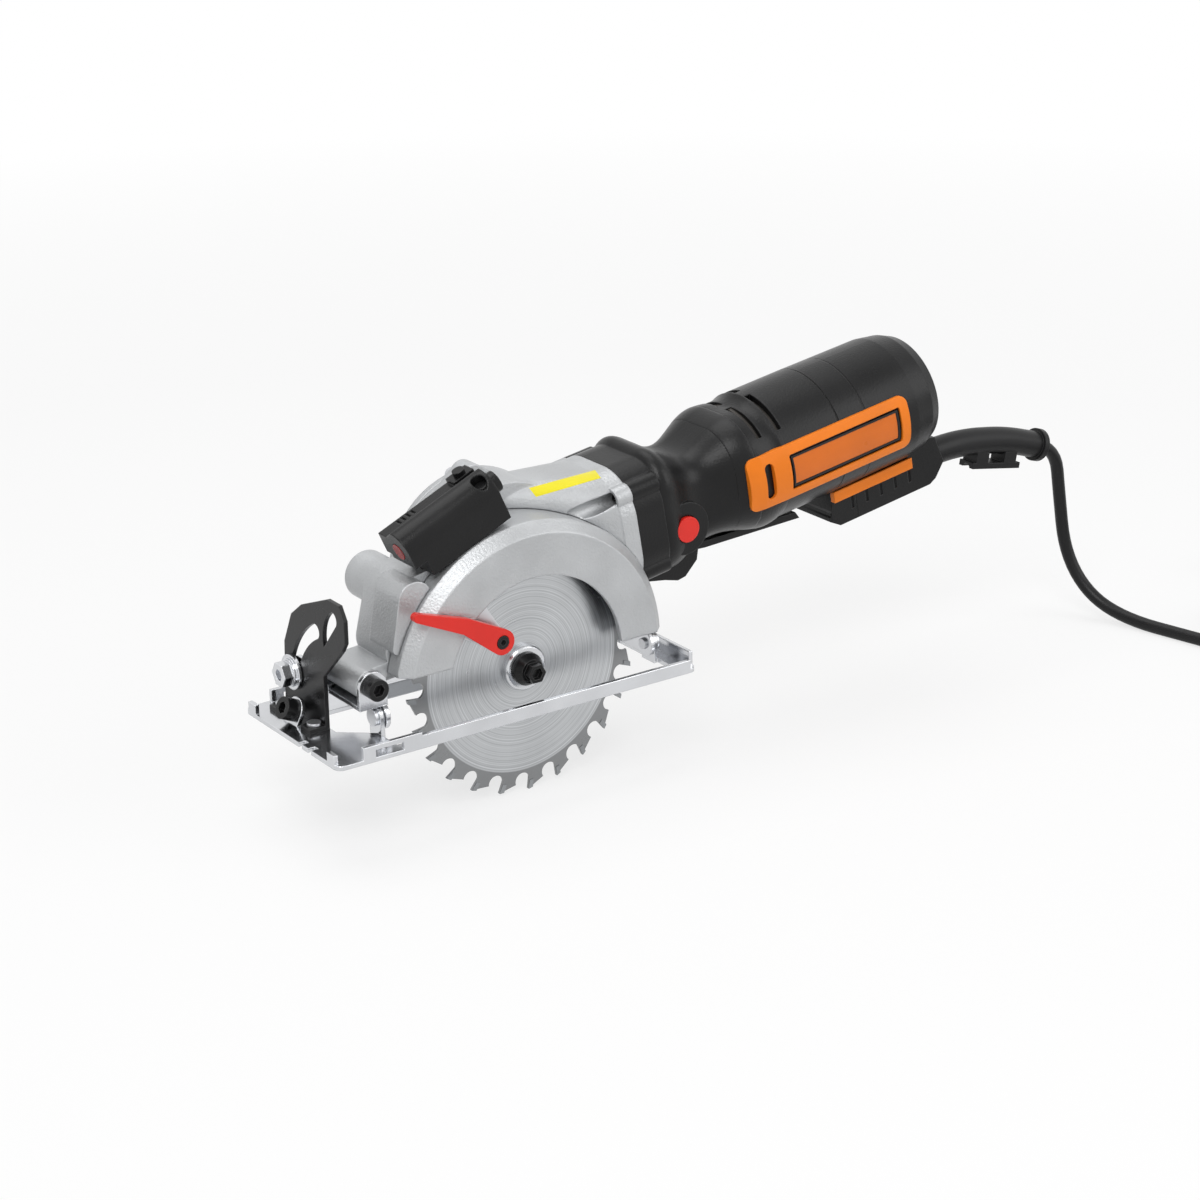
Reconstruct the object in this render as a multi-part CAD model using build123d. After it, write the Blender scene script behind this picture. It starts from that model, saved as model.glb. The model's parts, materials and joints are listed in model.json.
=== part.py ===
from build123d import *
import math
import os

# Frame: origin on the sole's underside, below the spindle, in the plane of the blade.
# X runs from the nose back to the motor, Y away from the blade side, Z up. Millimetres.

# Blade and how deep it cuts with the head right down
blade_dia = 120.0
blade_plate = 1.2
blade_bore_dia = 9.5
tooth_count = 24
tooth_depth = 8.6
tip_kerf = 1.8
tip_height = 4.2
tip_length = 2.2
tooth_phase = 211.5
cut_depth = 46.0

# Sole: a pressed sheet with a window for the blade
sheet = 2.0
sole_nose = 30.7
sole_heel = 8.4
sole_near = 24.0
sole_far = 57.6
rail_width = 6.2
lip_height = 6.2
rear_lip_height = 8.5
window_ahead = 6.0
window_behind = 1.0
window_far = 32.0
window_lip_height = 7.0
guide_slot_ahead = 5.0
guide_slot_width = 14.0
guide_slot_height = 3.4
guide_bridge = 2.2

# Bevel hinge, along X just over the sole
bevel_z = 9.0
bevel_pin_dia = 5.0
bevel_ear_r = 4.8
bevel_slot_r = 41.8
bevel_rest_angle = 16.7
bevel_range = 45.0
bevel_screw_dia = 6.0
quadrant_ahead = 13.5
quadrant_top = 64.0

# Depth hinge, along Y at the nose
hinge_ahead = 8.0
hinge_z = 24.0
hinge_tube_r = 7.0
hinge_bolt_dia = 6.0
clevis_near = -3.0
clevis_far = 29.0
clevis_ear_r = 6.9
clevis_web_z = 14.2
depth_range = 33.0
depth_bolt_back = 20.0
depth_bolt_rise = 10.86
depth_bolt_dia = 6.0
depth_plate_y = 42.0
depth_plate_width = 17.0

# Clearances
running = 0.05
gap = 0.3
slot_play = 0.4

# Motor line: it climbs to the rear, and its origin is the face between gear case and motor housing
motor_inset = 10.0
motor_y = 22.0
motor_tilt = 9.5
lay_rise = 39.96

# Gear train: bevel pair, layshaft, idler, spindle
spur_module = 1.0
spindle_teeth = 22
idler_teeth = 24
lay_teeth = 16
bevel_teeth = 44
pinion_teeth = 9
bevel_module = 1.3
bevel_face = 9.0
spur_near = 17.0
spur_width = 7.0
spindle_dia = 10.0
layshaft_dia = 10.0
idler_pin_dia = 8.0
bearing_width = 4.2
bearing_wall = 3.2

# Gear case and guards
case_near = 12.0
case_far = 38.0
case_wall = 3.5
chamber_r = 42.0
cover_thickness = 3.4
boss_r = 10.9
lobe_r = 13.3
lobe_far = 31.0
guard_near = -13.0
guard_wall = 2.5
guard_window_r = 45.7
face_over_blade = 5.0
rim_over_blade = 10.0
guard_rim_wall = 3.5
guard_front_rise = 13.5
guard_rear_rise = 4.9
inner_guard_over_blade = 3.2
inner_guard_wall = 1.5
inner_guard_near = -9.0
inner_guard_far = 4.4
inner_guard_start = 3.0
inner_guard_end = 165.0
hub_r = 13.5
lever_r = 29.5
lever_angle = 133.8
lever_boss_r = 5.8
lever_arm_length = 47.0
lever_arm_turn = 20.0
lever_outer_y = -17.0
lever_inner_y = -13.6

# Motor housing
flange_half = 29.0
flange_screw_y = 23.0
flange_screw_z = 19.5
flange_boss_r = 5.2
flange_corner = 20.0
flange_length = 15.0
barrel_r = 31.6
barrel_wall = 3.2
neck_bore_r = 14.0
barrel_start = 84.0
split_s = 118.0
rear_s = 181.0
rear_face_r = 26.5
block_start = 117.0
block_end = 190.0
block_drop = 15.4
block_half = 14.0
panel_thickness = 1.4
panel_front = 62.0
panel_rear = 157.0
panel_half = 13.2
shaft_dia = 8.0

# Laser guide, seated on the guard's rim; along its length, across it and up from the rim
laser_tilt = 24.0
laser_front = -27.3
laser_rear = 22.3
laser_near = -7.0
laser_far = 15.5
laser_shelf = 19.7
laser_top = 23.3
laser_axis_y = 3.0
laser_axis_z = 13.6

# Cord
cord_dia = 6.5
cord_pitch = 7.3
coil_inner_r = 26.0
coil_turns_per_layer = 3.25
coil_x = 428.0
coil_y = -85.0
coil_start_angle = 180.0
coil_tail = 36.0
floor_z = -46.0
sleeve_dia = 13.5
sleeve_end_dia = 12.0


# Derived places
blade_r = blade_dia / 2
spindle_z = blade_r - cut_depth
guard_rim_r = blade_r + rim_over_blade
guard_face_r = blade_r + face_over_blade
guard_front_z = spindle_z + guard_front_rise
guard_rear_z = spindle_z + guard_rear_rise
inner_guard_r = blade_r + inner_guard_over_blade
tilt = math.radians(motor_tilt)
lay_x = 0.0
lay_z = spindle_z + lay_rise
motor_x = guard_rim_r - motor_inset
motor_z = lay_z + (motor_x - lay_x) * math.tan(tilt)
hinge_x = -guard_rim_r - hinge_ahead
window_front = guard_rim_r + window_ahead
window_rear = guard_rim_r + window_behind
sole_front = sole_nose - hinge_x
sole_rear = window_rear + sole_heel
guide_slot_x = hinge_x - guide_slot_ahead
quadrant_x = hinge_x - quadrant_ahead
block_bottom = -barrel_r - block_drop
depth_bolt_x = depth_bolt_back
depth_bolt_z = spindle_z + depth_bolt_rise
depth_slot_r = math.hypot(depth_bolt_x - hinge_x, depth_bolt_z - hinge_z)
depth_bolt_angle = math.degrees(math.atan2(depth_bolt_z - hinge_z, depth_bolt_x - hinge_x))
bevel_screw_y = bevel_slot_r * math.cos(math.radians(bevel_rest_angle))
bevel_screw_z = bevel_z + bevel_slot_r * math.sin(math.radians(bevel_rest_angle))
lever_x = lever_r * math.cos(math.radians(lever_angle))
lever_z = spindle_z + lever_r * math.sin(math.radians(lever_angle))
motor_place = Location((motor_x, motor_y, motor_z), (0, -motor_tilt, 0))


def along_x(x0, x1, y, z, r):
    """A round bar along X."""
    return Pos((x0 + x1) / 2, y, z) * Rot(0, 90, 0) * Cylinder(r, x1 - x0)


def along_y(y0, y1, x, z, r):
    """A round bar along Y."""
    return Pos(x, (y0 + y1) / 2, z) * Rot(90, 0, 0) * Cylinder(r, y1 - y0)


def along_z(z0, z1, x, y, r):
    """A round bar along Z."""
    return Pos(x, y, (z0 + z1) / 2) * Cylinder(r, z1 - z0)


def block(x0, x1, y0, y1, z0, z1):
    """A box between two corners."""
    return Pos((x0 + x1) / 2, (y0 + y1) / 2, (z0 + z1) / 2) * Box(x1 - x0, y1 - y0, z1 - z0)


def plate_xz(face, y0, y1):
    """A flat outline in X and Z, thickened from y0 to y1."""
    return extrude(Plane((0, y0, 0), (1, 0, 0), (0, -1, 0)) * face, -(y1 - y0))


def plate_yz(face, x0, x1):
    """A flat outline in Y and Z, thickened from x0 to x1."""
    return extrude(Plane((x0, 0, 0), (0, 1, 0), (1, 0, 0)) * face, x1 - x0)


def outline(*points):
    """A closed straight-sided face."""
    return make_face(Polyline(*points, close=True))


def polar(r, degrees, cx=0.0, cz=0.0):
    """The point at a radius and angle about a centre."""
    return (cx + r * math.cos(math.radians(degrees)), cz + r * math.sin(math.radians(degrees)))


def wedge(reach, start, end):
    """A sector of a disc as a straight-sided face."""
    steps = 6
    rim = [polar(reach, start + (end - start) * i / steps) for i in range(steps + 1)]
    return outline((0, 0), *rim)


def arc_band(r, half, start, end):
    """A band that follows an arc, with round ends."""
    ring = (Circle(r + half) - Circle(r - half)) & wedge(3 * r, start, end)
    return ring + Pos(*polar(r, start)) * Circle(half) + Pos(*polar(r, end)) * Circle(half)


def hull(*rounds):
    """The outline drawn tight round circles given as (x, y, radius)."""
    edges = [edge for x, y, r in rounds for edge in (Pos(x, y) * Circle(r)).edges()]
    return make_hull(edges)


def hexagon(across_flats):
    """A hexagon by the size of its spanner."""
    return RegularPolygon(across_flats / 2, 6, major_radius=False)


def gear_outline(teeth, module, phase, thick=0.88, tall=0.85):
    """A spur gear's outline with straight flanks; phase is the angle of one tooth's middle."""
    pitch_r = module * teeth / 2
    top = pitch_r + tall * module
    root = pitch_r - 1.2 * module
    half = math.pi * module / 4 * thick
    slope = math.tan(math.radians(20))
    top_half = math.degrees((half - tall * module * slope) / top)
    root_half = math.degrees((half + 1.2 * module * slope) / root)
    points = []
    for i in range(teeth):
        middle = phase + 360 * i / teeth
        points.append(polar(root, middle - root_half))
        points.append(polar(top, middle - top_half))
        points.append(polar(top, middle + top_half))
        points.append(polar(root, middle + root_half))
    return outline(*points)


def cap_screw(head_r, head_h, shank_r, length, socket):
    """A socket screw standing on Z, its head over the origin and its shank below."""
    screw = Pos(0, 0, head_h / 2) * Cylinder(head_r, head_h)
    screw += Pos(0, 0, -length / 2) * Cylinder(shank_r, length)
    return screw - extrude(Pos(0, 0, head_h * 0.45) * hexagon(socket), head_h)


# Sole and what is fixed to it


def make_base_plate():
    """The sole: flat sheet, window, near rail, window lip, rear lip, tabs, ears and guide slots."""
    window = outline(
        (-window_front, -sole_near + rail_width),
        (window_rear, -sole_near + rail_width),
        (window_rear, window_far),
        (-window_front - 14, window_far),
        (-window_front - 14, bevel_ear_r + 5),
        (-window_front, bevel_ear_r + 5 - 12),
    )
    flat = Pos((sole_rear - sole_front) / 2, (sole_far - sole_near) / 2) * RectangleRounded(
        sole_front + sole_rear, sole_far + sole_near, 4
    )
    plate = extrude(flat - window, sheet)
    plate -= block(-sole_front - 1, -sole_front + 3.4, 6.5, 9.5, -1, sheet + 1)
    plate -= block(-sole_front - 1, -sole_front + 3.4, -1.5, 1.5, -1, sheet + 1)
    plate += sole_upstands()
    plate += bevel_ear(-window_front, -window_front + sheet)
    plate += bevel_ear(window_rear - sheet, window_rear)
    for y in quadrant_rivet_ys():
        plate -= along_z(-1, sheet + 1, quadrant_x - quadrant_foot() / 2, y, 2 + running)
    return plate + guide_clamp_tab()


def sole_upstands():
    """Walls turned up from the sheet: near rail, far guide flange, rear lip, window lip and corner tabs."""
    rail_start = guide_slot_x - guide_slot_width / 2 - 6
    near = block(rail_start, sole_rear - 4, -sole_near, -sole_near + sheet, 0, lip_height)
    near += block(rail_start, guide_slot_x + 16, -sole_near, -sole_near + sheet, 0, slot_top())
    far = block(rail_start, guide_slot_x + 15, sole_far - sheet, sole_far, 0, slot_top())
    slot = block(
        guide_slot_x - guide_slot_width / 2,
        guide_slot_x + guide_slot_width / 2,
        -sole_near - 1,
        sole_far + 1,
        sheet,
        sheet + guide_slot_height,
    )
    rear = block(sole_rear - sheet, sole_rear, -sole_near + 4, sole_far - 4, 0, rear_lip_height)
    lip = block(-window_front + 10, window_rear - 13, window_far, window_far + sheet, 0, window_lip_height)
    tabs = block(-sole_front, -sole_front + sheet, -sole_near + 3, -sole_near + 9, 0, lip_height)
    tabs += block(-sole_front, -sole_front + sheet, sole_far - 10, sole_far - 4, 0, lip_height)
    return near + far - slot + rear + lip + tabs


def slot_top():
    """Height of the bridge over the guide slots."""
    return sheet + guide_slot_height + guide_bridge


def bevel_ear(x0, x1):
    """An ear turned up from the sheet, with the hole for a bevel pivot."""
    half = bevel_ear_r
    ear = Pos(0, bevel_z) * Circle(half) + Pos(0, bevel_z / 2) * Rectangle(2 * half, bevel_z)
    return plate_yz(ear - Pos(0, bevel_z) * Circle(bevel_pin_dia / 2 + running), x0, x1)


def guide_clamp_tab():
    """The curled tab that carries the guide clamp screw."""
    wall = Pos(0, 6) * Circle(6.5) + Pos(0, 2.5) * Rectangle(13, 7)
    wall -= Pos(0, 6.5) * Circle(guide_screw_r() + running)
    return guide_tab_place() * extrude(Plane((0, 0, 0), (0, 1, 0), (1, 0, 0)) * wall, sheet)


def guide_tab_place():
    """Foot of the clamp tab, which leans back so that the screw's head looks up."""
    return Location((7.2 - sole_front, 31, sheet - 0.6), (0, 25, 0))


def guide_screw_r():
    """Radius of the guide clamp screw."""
    return 3.0


def make_quadrant():
    """The black bevel plate with its arc slot, crescent opening and two feet."""
    top = quadrant_top
    side = outline(
        (14, sheet),
        (14, 27),
        (-3, 43.5),
        (-6, 48),
        (-6, top - 6),
        (-2, top),
        (8, top),
        (30.5, top - 9),
        (40, top - 16),
        (47.5, top - 31),
        (49.5, sheet),
    )
    slot_end = bevel_rest_angle + bevel_range + 1
    half = bevel_screw_dia / 2 + slot_play
    side -= Pos(0, bevel_z) * arc_band(bevel_slot_r, half, bevel_rest_angle - 1, slot_end)
    left = ThreePointArc((3.7, top - 4.4), (10.8, top - 11.4), (12.2, top - 23))
    right = ThreePointArc((12.2, top - 23), (6.3, top - 16.2), (1.3, top - 10.5))
    side -= make_face([left, right, ThreePointArc((1.3, top - 10.5), (0.4, top - 7), (3.7, top - 4.4))])
    plate = plate_yz(side, quadrant_x - sheet / 2, quadrant_x + sheet / 2)
    for y in quadrant_rivet_ys():
        foot = block(quadrant_x - quadrant_foot(), quadrant_x, y - 4, y + 4, sheet, 2 * sheet)
        plate += foot - along_z(0, 9, quadrant_x - quadrant_foot() / 2, y, 2 + running)
    return plate


def quadrant_foot():
    """How far the quadrant's feet reach forward."""
    return 9.0


def quadrant_rivet_ys():
    """Where the quadrant's foot is riveted down."""
    return (18, 45.5)


def make_rivets():
    """Two bevel pivots and two foot rivets."""
    front = along_x(-window_front - 1.6, -window_front + 2 * sheet + gap + 1.2, 0, bevel_z, bevel_pin_dia / 2)
    front += along_x(-window_front - 1.8, -window_front, 0, bevel_z, 4)
    rear = along_x(window_rear - 2 * sheet - gap - 1.2, window_rear + 1.6, 0, bevel_z, bevel_pin_dia / 2)
    rear += along_x(window_rear, window_rear + 1.8, 0, bevel_z, 4)
    solids = [front, rear]
    for y in quadrant_rivet_ys():
        x = quadrant_x - quadrant_foot() / 2
        rivet = along_z(0.4, 2 * sheet, x, y, 2)
        solids.append(rivet + along_z(2 * sheet, 2 * sheet + 1.4, x, y, 3.2))
    return solids


def make_guide_screw():
    """The clamp screw for a rip guide, slanting back through its tab."""
    screw = Pos(-0.05, 0, 6.5) * Rot(0, -90, 0) * cap_screw(5, 6, guide_screw_r(), 4, 5)
    return guide_tab_place() * screw


# Bevel frame


def make_clevis():
    """The U-bracket at the nose: two ears, a web, the bevel tab and the arm for the bevel screw."""
    front = quadrant_x + sheet / 2 + gap
    rear = -window_front + 2 * sheet + gap
    ear = hull((hinge_x, hinge_z, clevis_ear_r), (hinge_x - 2, clevis_web_z + 5, 5), (hinge_x + 2, clevis_web_z + 5, 5))
    ear += Pos(hinge_x, clevis_web_z + 3) * Rectangle(2 * clevis_ear_r, 6)
    ear -= Pos(hinge_x, hinge_z) * Circle(hinge_bolt_dia / 2 + running)
    body = plate_xz(ear, clevis_near, clevis_near + sheet) + plate_xz(ear, clevis_far - sheet, clevis_far)
    body += block(hinge_x - clevis_ear_r, rear, clevis_near, clevis_far, clevis_web_z, clevis_web_z + sheet)
    tab = Pos(0, bevel_z) * Circle(bevel_ear_r + 1.4) + Pos(1.5, (bevel_z + clevis_web_z + sheet) / 2) * Rectangle(
        9, clevis_web_z + sheet - bevel_z
    )
    tab -= Pos(0, bevel_z) * Circle(bevel_pin_dia / 2 + running)
    body += plate_yz(tab, rear - sheet, rear)
    arm = hull((bevel_screw_y, bevel_screw_z, 6.5), (clevis_far - 8, clevis_web_z + 4, 4), (clevis_far - 4, bevel_screw_z, 6))
    arm -= Pos(bevel_screw_y, bevel_screw_z) * Circle(bevel_screw_dia / 2 + running)
    body += plate_yz(arm, front, front + sheet)
    return body + block(front, hinge_x - 4, clevis_far - sheet, clevis_far, clevis_web_z, bevel_screw_z + 4)


def make_pivot_bolt():
    """Socket bolt of the depth hinge, with its nut on the far ear."""
    bolt = along_y(clevis_near, clevis_far + 5.5, hinge_x, hinge_z, hinge_bolt_dia / 2)
    head = along_y(clevis_near - 5, clevis_near, hinge_x, hinge_z, 4.9)
    socket = plate_xz(Pos(hinge_x, hinge_z) * hexagon(5), clevis_near - 5.1, clevis_near - 2)
    nut = plate_xz(
        Pos(hinge_x, hinge_z) * (hexagon(10) - Circle(hinge_bolt_dia / 2 + running)), clevis_far, clevis_far + 5
    )
    return [bolt + head - socket, nut]


def make_depth_bracket():
    """The slotted arc plate for depth, and the foot that pivots on the rear ear."""
    foot_x0 = window_rear - 2 * sheet - gap
    foot_x1 = foot_x0 + sheet
    centre = Pos(hinge_x, hinge_z)
    half = depth_plate_width / 2
    sweep_end = depth_bolt_angle + depth_range
    arc = centre * arc_band(depth_slot_r, half, depth_bolt_angle - 3, sweep_end + 2)
    low = outline(
        (depth_bolt_x - half, depth_bolt_z),
        (depth_bolt_x + half, depth_bolt_z),
        (depth_bolt_x + half + 14, 13),
        (foot_x1, 13),
        (foot_x1, 4),
        (depth_bolt_x - half + 2, 4),
    )
    slot = centre * arc_band(depth_slot_r, depth_bolt_dia / 2 + slot_play, depth_bolt_angle - 0.3, sweep_end + 0.3)
    plate = plate_xz(arc + low - slot, depth_plate_y, depth_plate_y + sheet)
    strip = Pos(0, bevel_z) * Circle(bevel_ear_r + 1.2) + Pos((depth_plate_y + sheet) / 2, 8.5) * Rectangle(
        depth_plate_y + sheet, 9
    )
    return plate + plate_yz(strip - Pos(0, bevel_z) * Circle(bevel_pin_dia / 2 + running), foot_x0, foot_x1)


def make_bevel_screw():
    """Chrome clamp screw through the quadrant's slot, with its washers."""
    front = quadrant_x - sheet / 2 - gap
    back = quadrant_x + sheet / 2 + gap + sheet
    screw = along_x(front - 7.5, back + 5, bevel_screw_y, bevel_screw_z, bevel_screw_dia / 2)
    screw += along_x(front - 1.6, front, bevel_screw_y, bevel_screw_z, 8)
    screw += along_x(front - 3, front - 1.6, bevel_screw_y, bevel_screw_z, 6.4)
    screw += plate_yz(Pos(bevel_screw_y, bevel_screw_z) * hexagon(10), front - 7.5, front - 3)
    screw += plate_yz(Pos(bevel_screw_y, bevel_screw_z) * hexagon(10), back, back + 4.5)
    return screw - plate_yz(Pos(bevel_screw_y, bevel_screw_z) * hexagon(5), front - 8, front - 5)


# Guards


def make_upper_guard():
    """Cast guard: near wall with its round window, chamfered rim and back wall, open below."""
    inner = guard_rim_r - guard_rim_wall
    chamfer = guard_rim_r - guard_face_r
    near_in = guard_near + guard_wall
    section = outline(
        (guard_window_r, guard_near),
        (guard_face_r, guard_near),
        (guard_rim_r, guard_near + chamfer),
        (guard_rim_r, case_near),
        (boss_r + gap, case_near),
        (boss_r + gap, case_near - 2),
        (inner, case_near - 2),
        (inner, near_in + chamfer - 1),
        (inner - chamfer + 1, near_in),
        (guard_window_r, near_in),
    )
    turned = revolve(Plane((0, 0, spindle_z), (1, 0, 0), (0, 0, 1)) * section, Axis((0, 0, spindle_z), (0, 1, 0)))
    reach = guard_rim_r + 1
    turned -= block(-reach, 0, guard_near - 1, case_near + 1, spindle_z - reach, guard_front_z)
    for notch in flange_holes(-16, 4, 3.8):
        turned -= notch
    return turned - block(0, reach, guard_near - 1, case_near + 1, spindle_z - reach, guard_rear_z)


def make_lower_guard():
    """Sprung inner guard: hub, back web, rim and near band, with the ear for the lever."""
    centre = Pos(0, spindle_z)
    rim_in = inner_guard_r - inner_guard_wall
    sector = wedge(3 * inner_guard_r, inner_guard_start, inner_guard_end)
    back = centre * (Circle(inner_guard_r) & sector) + centre * Circle(hub_r)
    back -= centre * Circle(boss_r + running)
    rim = centre * ((Circle(inner_guard_r) - Circle(rim_in)) & sector)
    band = centre * ((Circle(inner_guard_r) - Circle(guard_window_r + 1.5)) & sector)
    ear = hull(
        (lever_x, lever_z, lever_boss_r - 0.6),
        (*polar(guard_window_r + 5, lever_angle - 5, 0, spindle_z), 5),
        (*polar(guard_window_r + 5, lever_angle + 7, 0, spindle_z), 5),
    )
    ear -= Pos(lever_x, lever_z) * Circle(1.6 + running)
    guard = plate_xz(back, inner_guard_far, inner_guard_far + inner_guard_wall)
    guard += plate_xz(rim, inner_guard_near, inner_guard_far + inner_guard_wall)
    guard += plate_xz(band + ear, inner_guard_near, inner_guard_near + inner_guard_wall)
    ring = centre * (Circle(hub_r) - Circle(boss_r + running))
    return guard + plate_xz(ring, inner_guard_far - 0.4, inner_guard_far + 2)


def make_guard_spring():
    """Wire spring round the spindle boss that closes the lower guard."""
    wire = 0.45
    coil = Helix(pitch=1.0, height=1.7, radius=boss_r + 1.4)
    spring = sweep(Plane(coil @ 0, z_dir=coil % 0) * Circle(wire), path=coil, is_frenet=True)
    return Pos(0, case_near - 2 - wire - gap, spindle_z) * Rot(90, 0, 0) * spring


def make_guard_lever():
    """Red finger lever: a boss on the guard's ear and a tapering arm over the guard's face."""
    turn = lever_angle + lever_arm_turn
    tip = polar(lever_arm_length, turn, lever_x, lever_z)
    middle = polar(lever_arm_length * 0.45, turn - 6, lever_x, lever_z)
    arm = hull((lever_x, lever_z, lever_boss_r), (*middle, 3.6)) + hull((*middle, 3.6), (*tip, 2.0))
    lever = plate_xz(arm, lever_outer_y, lever_inner_y)
    boss_near = inner_guard_near - 0.02
    lever += along_y(lever_outer_y, boss_near, lever_x, lever_z, lever_boss_r - 0.8)
    lever -= along_y(lever_outer_y - 1, lever_outer_y + 2.4, lever_x, lever_z, 3.2)
    return lever - along_y(lever_outer_y - 1, 0, lever_x, lever_z, 1.6 + running)


def make_lever_screw():
    """The black screw in the lever's boss."""
    seat = lever_outer_y + 2.4
    screw = along_y(seat, inner_guard_near + inner_guard_wall + 1, lever_x, lever_z, 1.6)
    screw += along_y(lever_outer_y - 0.2, seat, lever_x, lever_z, 2.9)
    return screw - plate_xz(Pos(lever_x, lever_z) * hexagon(2.6), lever_outer_y - 1, lever_outer_y + 1.2)


# Gear case


def spur_places():
    """Spindle, idler and layshaft centres in X and Z, and the two lines between them in degrees."""
    first = spur_module * (spindle_teeth + idler_teeth) / 2
    second = spur_module * (idler_teeth + lay_teeth) / 2
    dx = lay_x
    dz = lay_z - spindle_z
    across = math.hypot(dx, dz)
    heading = math.degrees(math.atan2(dz, dx))
    swing = math.degrees(math.acos((first**2 + across**2 - second**2) / (2 * first * across)))
    line_one = heading - swing
    idler = polar(first, line_one, 0, spindle_z)
    line_two = math.degrees(math.atan2(lay_z - idler[1], lay_x - idler[0]))
    return idler, line_one, line_two


def case_tunnel(grow):
    """The cast body that widens from the gear chamber to the motor flange."""
    near = RectangleRounded(26 - 2 * grow, 58 - 2 * grow, 9)
    wide = RectangleRounded(2 * flange_half - 2 * grow, 2 * flange_half - 2 * grow, flange_corner)
    start = Plane((-56, 3, 11), (0, 1, 0), (1, 0, 0)) * near
    end = Plane((-7, 0, 0), (0, 1, 0), (1, 0, 0)) * wide
    return motor_place * loft([start, end], ruled=True)


def flange_plate(s0, s1):
    """The square flange with four screw bosses, between two stations on the motor line."""
    face = RectangleRounded(2 * flange_half, 2 * flange_half, flange_corner)
    for y in (-flange_screw_y, flange_screw_y):
        for z in (-flange_screw_z, flange_screw_z):
            face += Pos(y, z) * Circle(flange_boss_r)
    return extrude(Plane((s0, 0, 0), (0, 1, 0), (1, 0, 0)) * face, s1 - s0)


def flange_holes(s0, s1, r):
    """Four screw holes or shanks through the flange."""
    bars = []
    for y in (-flange_screw_y, flange_screw_y):
        for z in (-flange_screw_z, flange_screw_z):
            bars.append(motor_place * along_x(s0, s1, y, z, r))
    return bars


def nose_arm():
    """The cast front: a wall round the guard's rim with its pad, the hinge arm and the dust outlet."""
    dust = (dust_x(), dust_z(), dust_r())
    wall = hull(dust, (11.5 - guard_rim_r, spindle_z + 22, 10.5), (26 - guard_rim_r, spindle_z + 20, 8), (-20, lay_z, 20))
    side = wall + hull((hinge_x, hinge_z, hinge_tube_r), (hinge_x + 20, hinge_z + 2, hinge_tube_r))
    tube_near = clevis_near + sheet + gap
    tube_far = clevis_far - sheet - gap
    arm = plate_xz(side, tube_near + 1, tube_far - 1)
    pad = hull(
        (12.8 - guard_rim_r, spindle_z + 45.8, 8.3),
        (3.5 - guard_rim_r, spindle_z + 25.5, 2.5),
        (12 - guard_rim_r, spindle_z + 25.5, 2.5),
    )
    arm += plate_xz(pad, pad_near(), case_near + 2)
    tube = along_y(tube_near, tube_far, hinge_x, hinge_z, hinge_tube_r)
    return arm + tube + along_y(case_near, dust_far(), dust_x(), dust_z(), dust_r())


def pad_near():
    """Near face of the pad in front of the guard."""
    return guard_near + 7.0


def dust_x():
    """Dust outlet, ahead of the chamber."""
    return 17.0 - guard_rim_r


def dust_z():
    """Height of the dust outlet."""
    return spindle_z + 43.0


def dust_r():
    """Outer radius of the dust outlet."""
    return 11.0


def dust_far():
    """Where the dust outlet ends on the far side."""
    return case_far + 4.0


def make_gear_case():
    """Cast gear case: chamber, spindle lobe, tunnel, flange, nose arm and lugs, hollow for the gears."""
    idler = spur_places()[0]
    case = along_y(case_near, case_far, lay_x, lay_z, chamber_r)
    lobe = hull((0, spindle_z, lobe_r), (lay_x, lay_z - 12, 26))
    case += plate_xz(lobe, case_near, lobe_far)
    case += case_tunnel(0) + motor_place * flange_plate(-8, 0) + nose_arm()
    case += along_y(case_near - 10, case_near + 2, 0, spindle_z, boss_r) - along_y(-1, 3.8, 0, spindle_z, boss_r + 1)
    case += plate_xz(hull((-9, lay_z + 43.5, 6.5), (-19, lay_z + 30, 9), (1, lay_z + 34, 8)), 21, 31)
    clear = guard_rim_r + gap
    case -= along_y(case_far, depth_plate_y + 20, lay_x, lay_z, chamber_r + running)
    case -= along_y(guard_near - 8, case_near, 0, spindle_z, clear) - along_y(3.8, case_near, 0, spindle_z, boss_r)
    return case_hollows(case, idler)


def case_hollows(case, idler):
    """Cuts the gear spaces, bearing seats and screw holes out of the case."""
    inner = chamber_r - case_wall
    spur_far = spur_near + spur_width
    clearance = 1.2
    lay_seat = layshaft_dia / 2 + bearing_wall
    spindle_seat = spindle_dia / 2 + bearing_wall
    case -= along_y(spur_near - clearance, case_far + 9, lay_x, lay_z, inner)
    case -= along_y(spur_near - clearance, spur_far + clearance, 0, spindle_z, lobe_r - 1.1)
    case -= along_y(case_near + 0.6, spur_near, lay_x, lay_z, lay_seat)
    case -= along_y(0, spur_near, 0, spindle_z, spindle_dia / 2 + 1)
    case -= along_y(4.2, case_near + 1, 0, spindle_z, spindle_seat)
    case -= along_y(spur_far, spur_far + clearance + bearing_width + 0.6, 0, spindle_z, spindle_seat)
    case -= along_y(case_near + 0.6, spur_near, *idler, idler_pin_dia / 2 + running)
    case -= motor_place * along_x(-60, -7.4, 0, 0, 12)
    case -= motor_place * along_x(-8, 1, 0, 0, shaft_dia / 2 + 6)
    case -= along_y(-9, clevis_far + 1, hinge_x, hinge_z, hinge_bolt_dia / 2 + running)
    case -= along_y(dust_far() - 16, dust_far() + 1, dust_x(), dust_z(), dust_r() - 2)
    for bar in flange_holes(-24, 1, 2.1):
        case -= bar
    for head in flange_holes(-30, -2.6, 3.6):
        case -= head
    for x, z in cover_screw_places():
        case -= along_y(case_far - 10, case_far + 1, x, z, 1.6)
    return case


def cover_screw_places():
    """The gear cover's screws, on the chamber's wall."""
    ring = chamber_r - case_wall / 2
    return [polar(ring, angle, lay_x, lay_z) for angle in (100, 160, 215, 325)]


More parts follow.
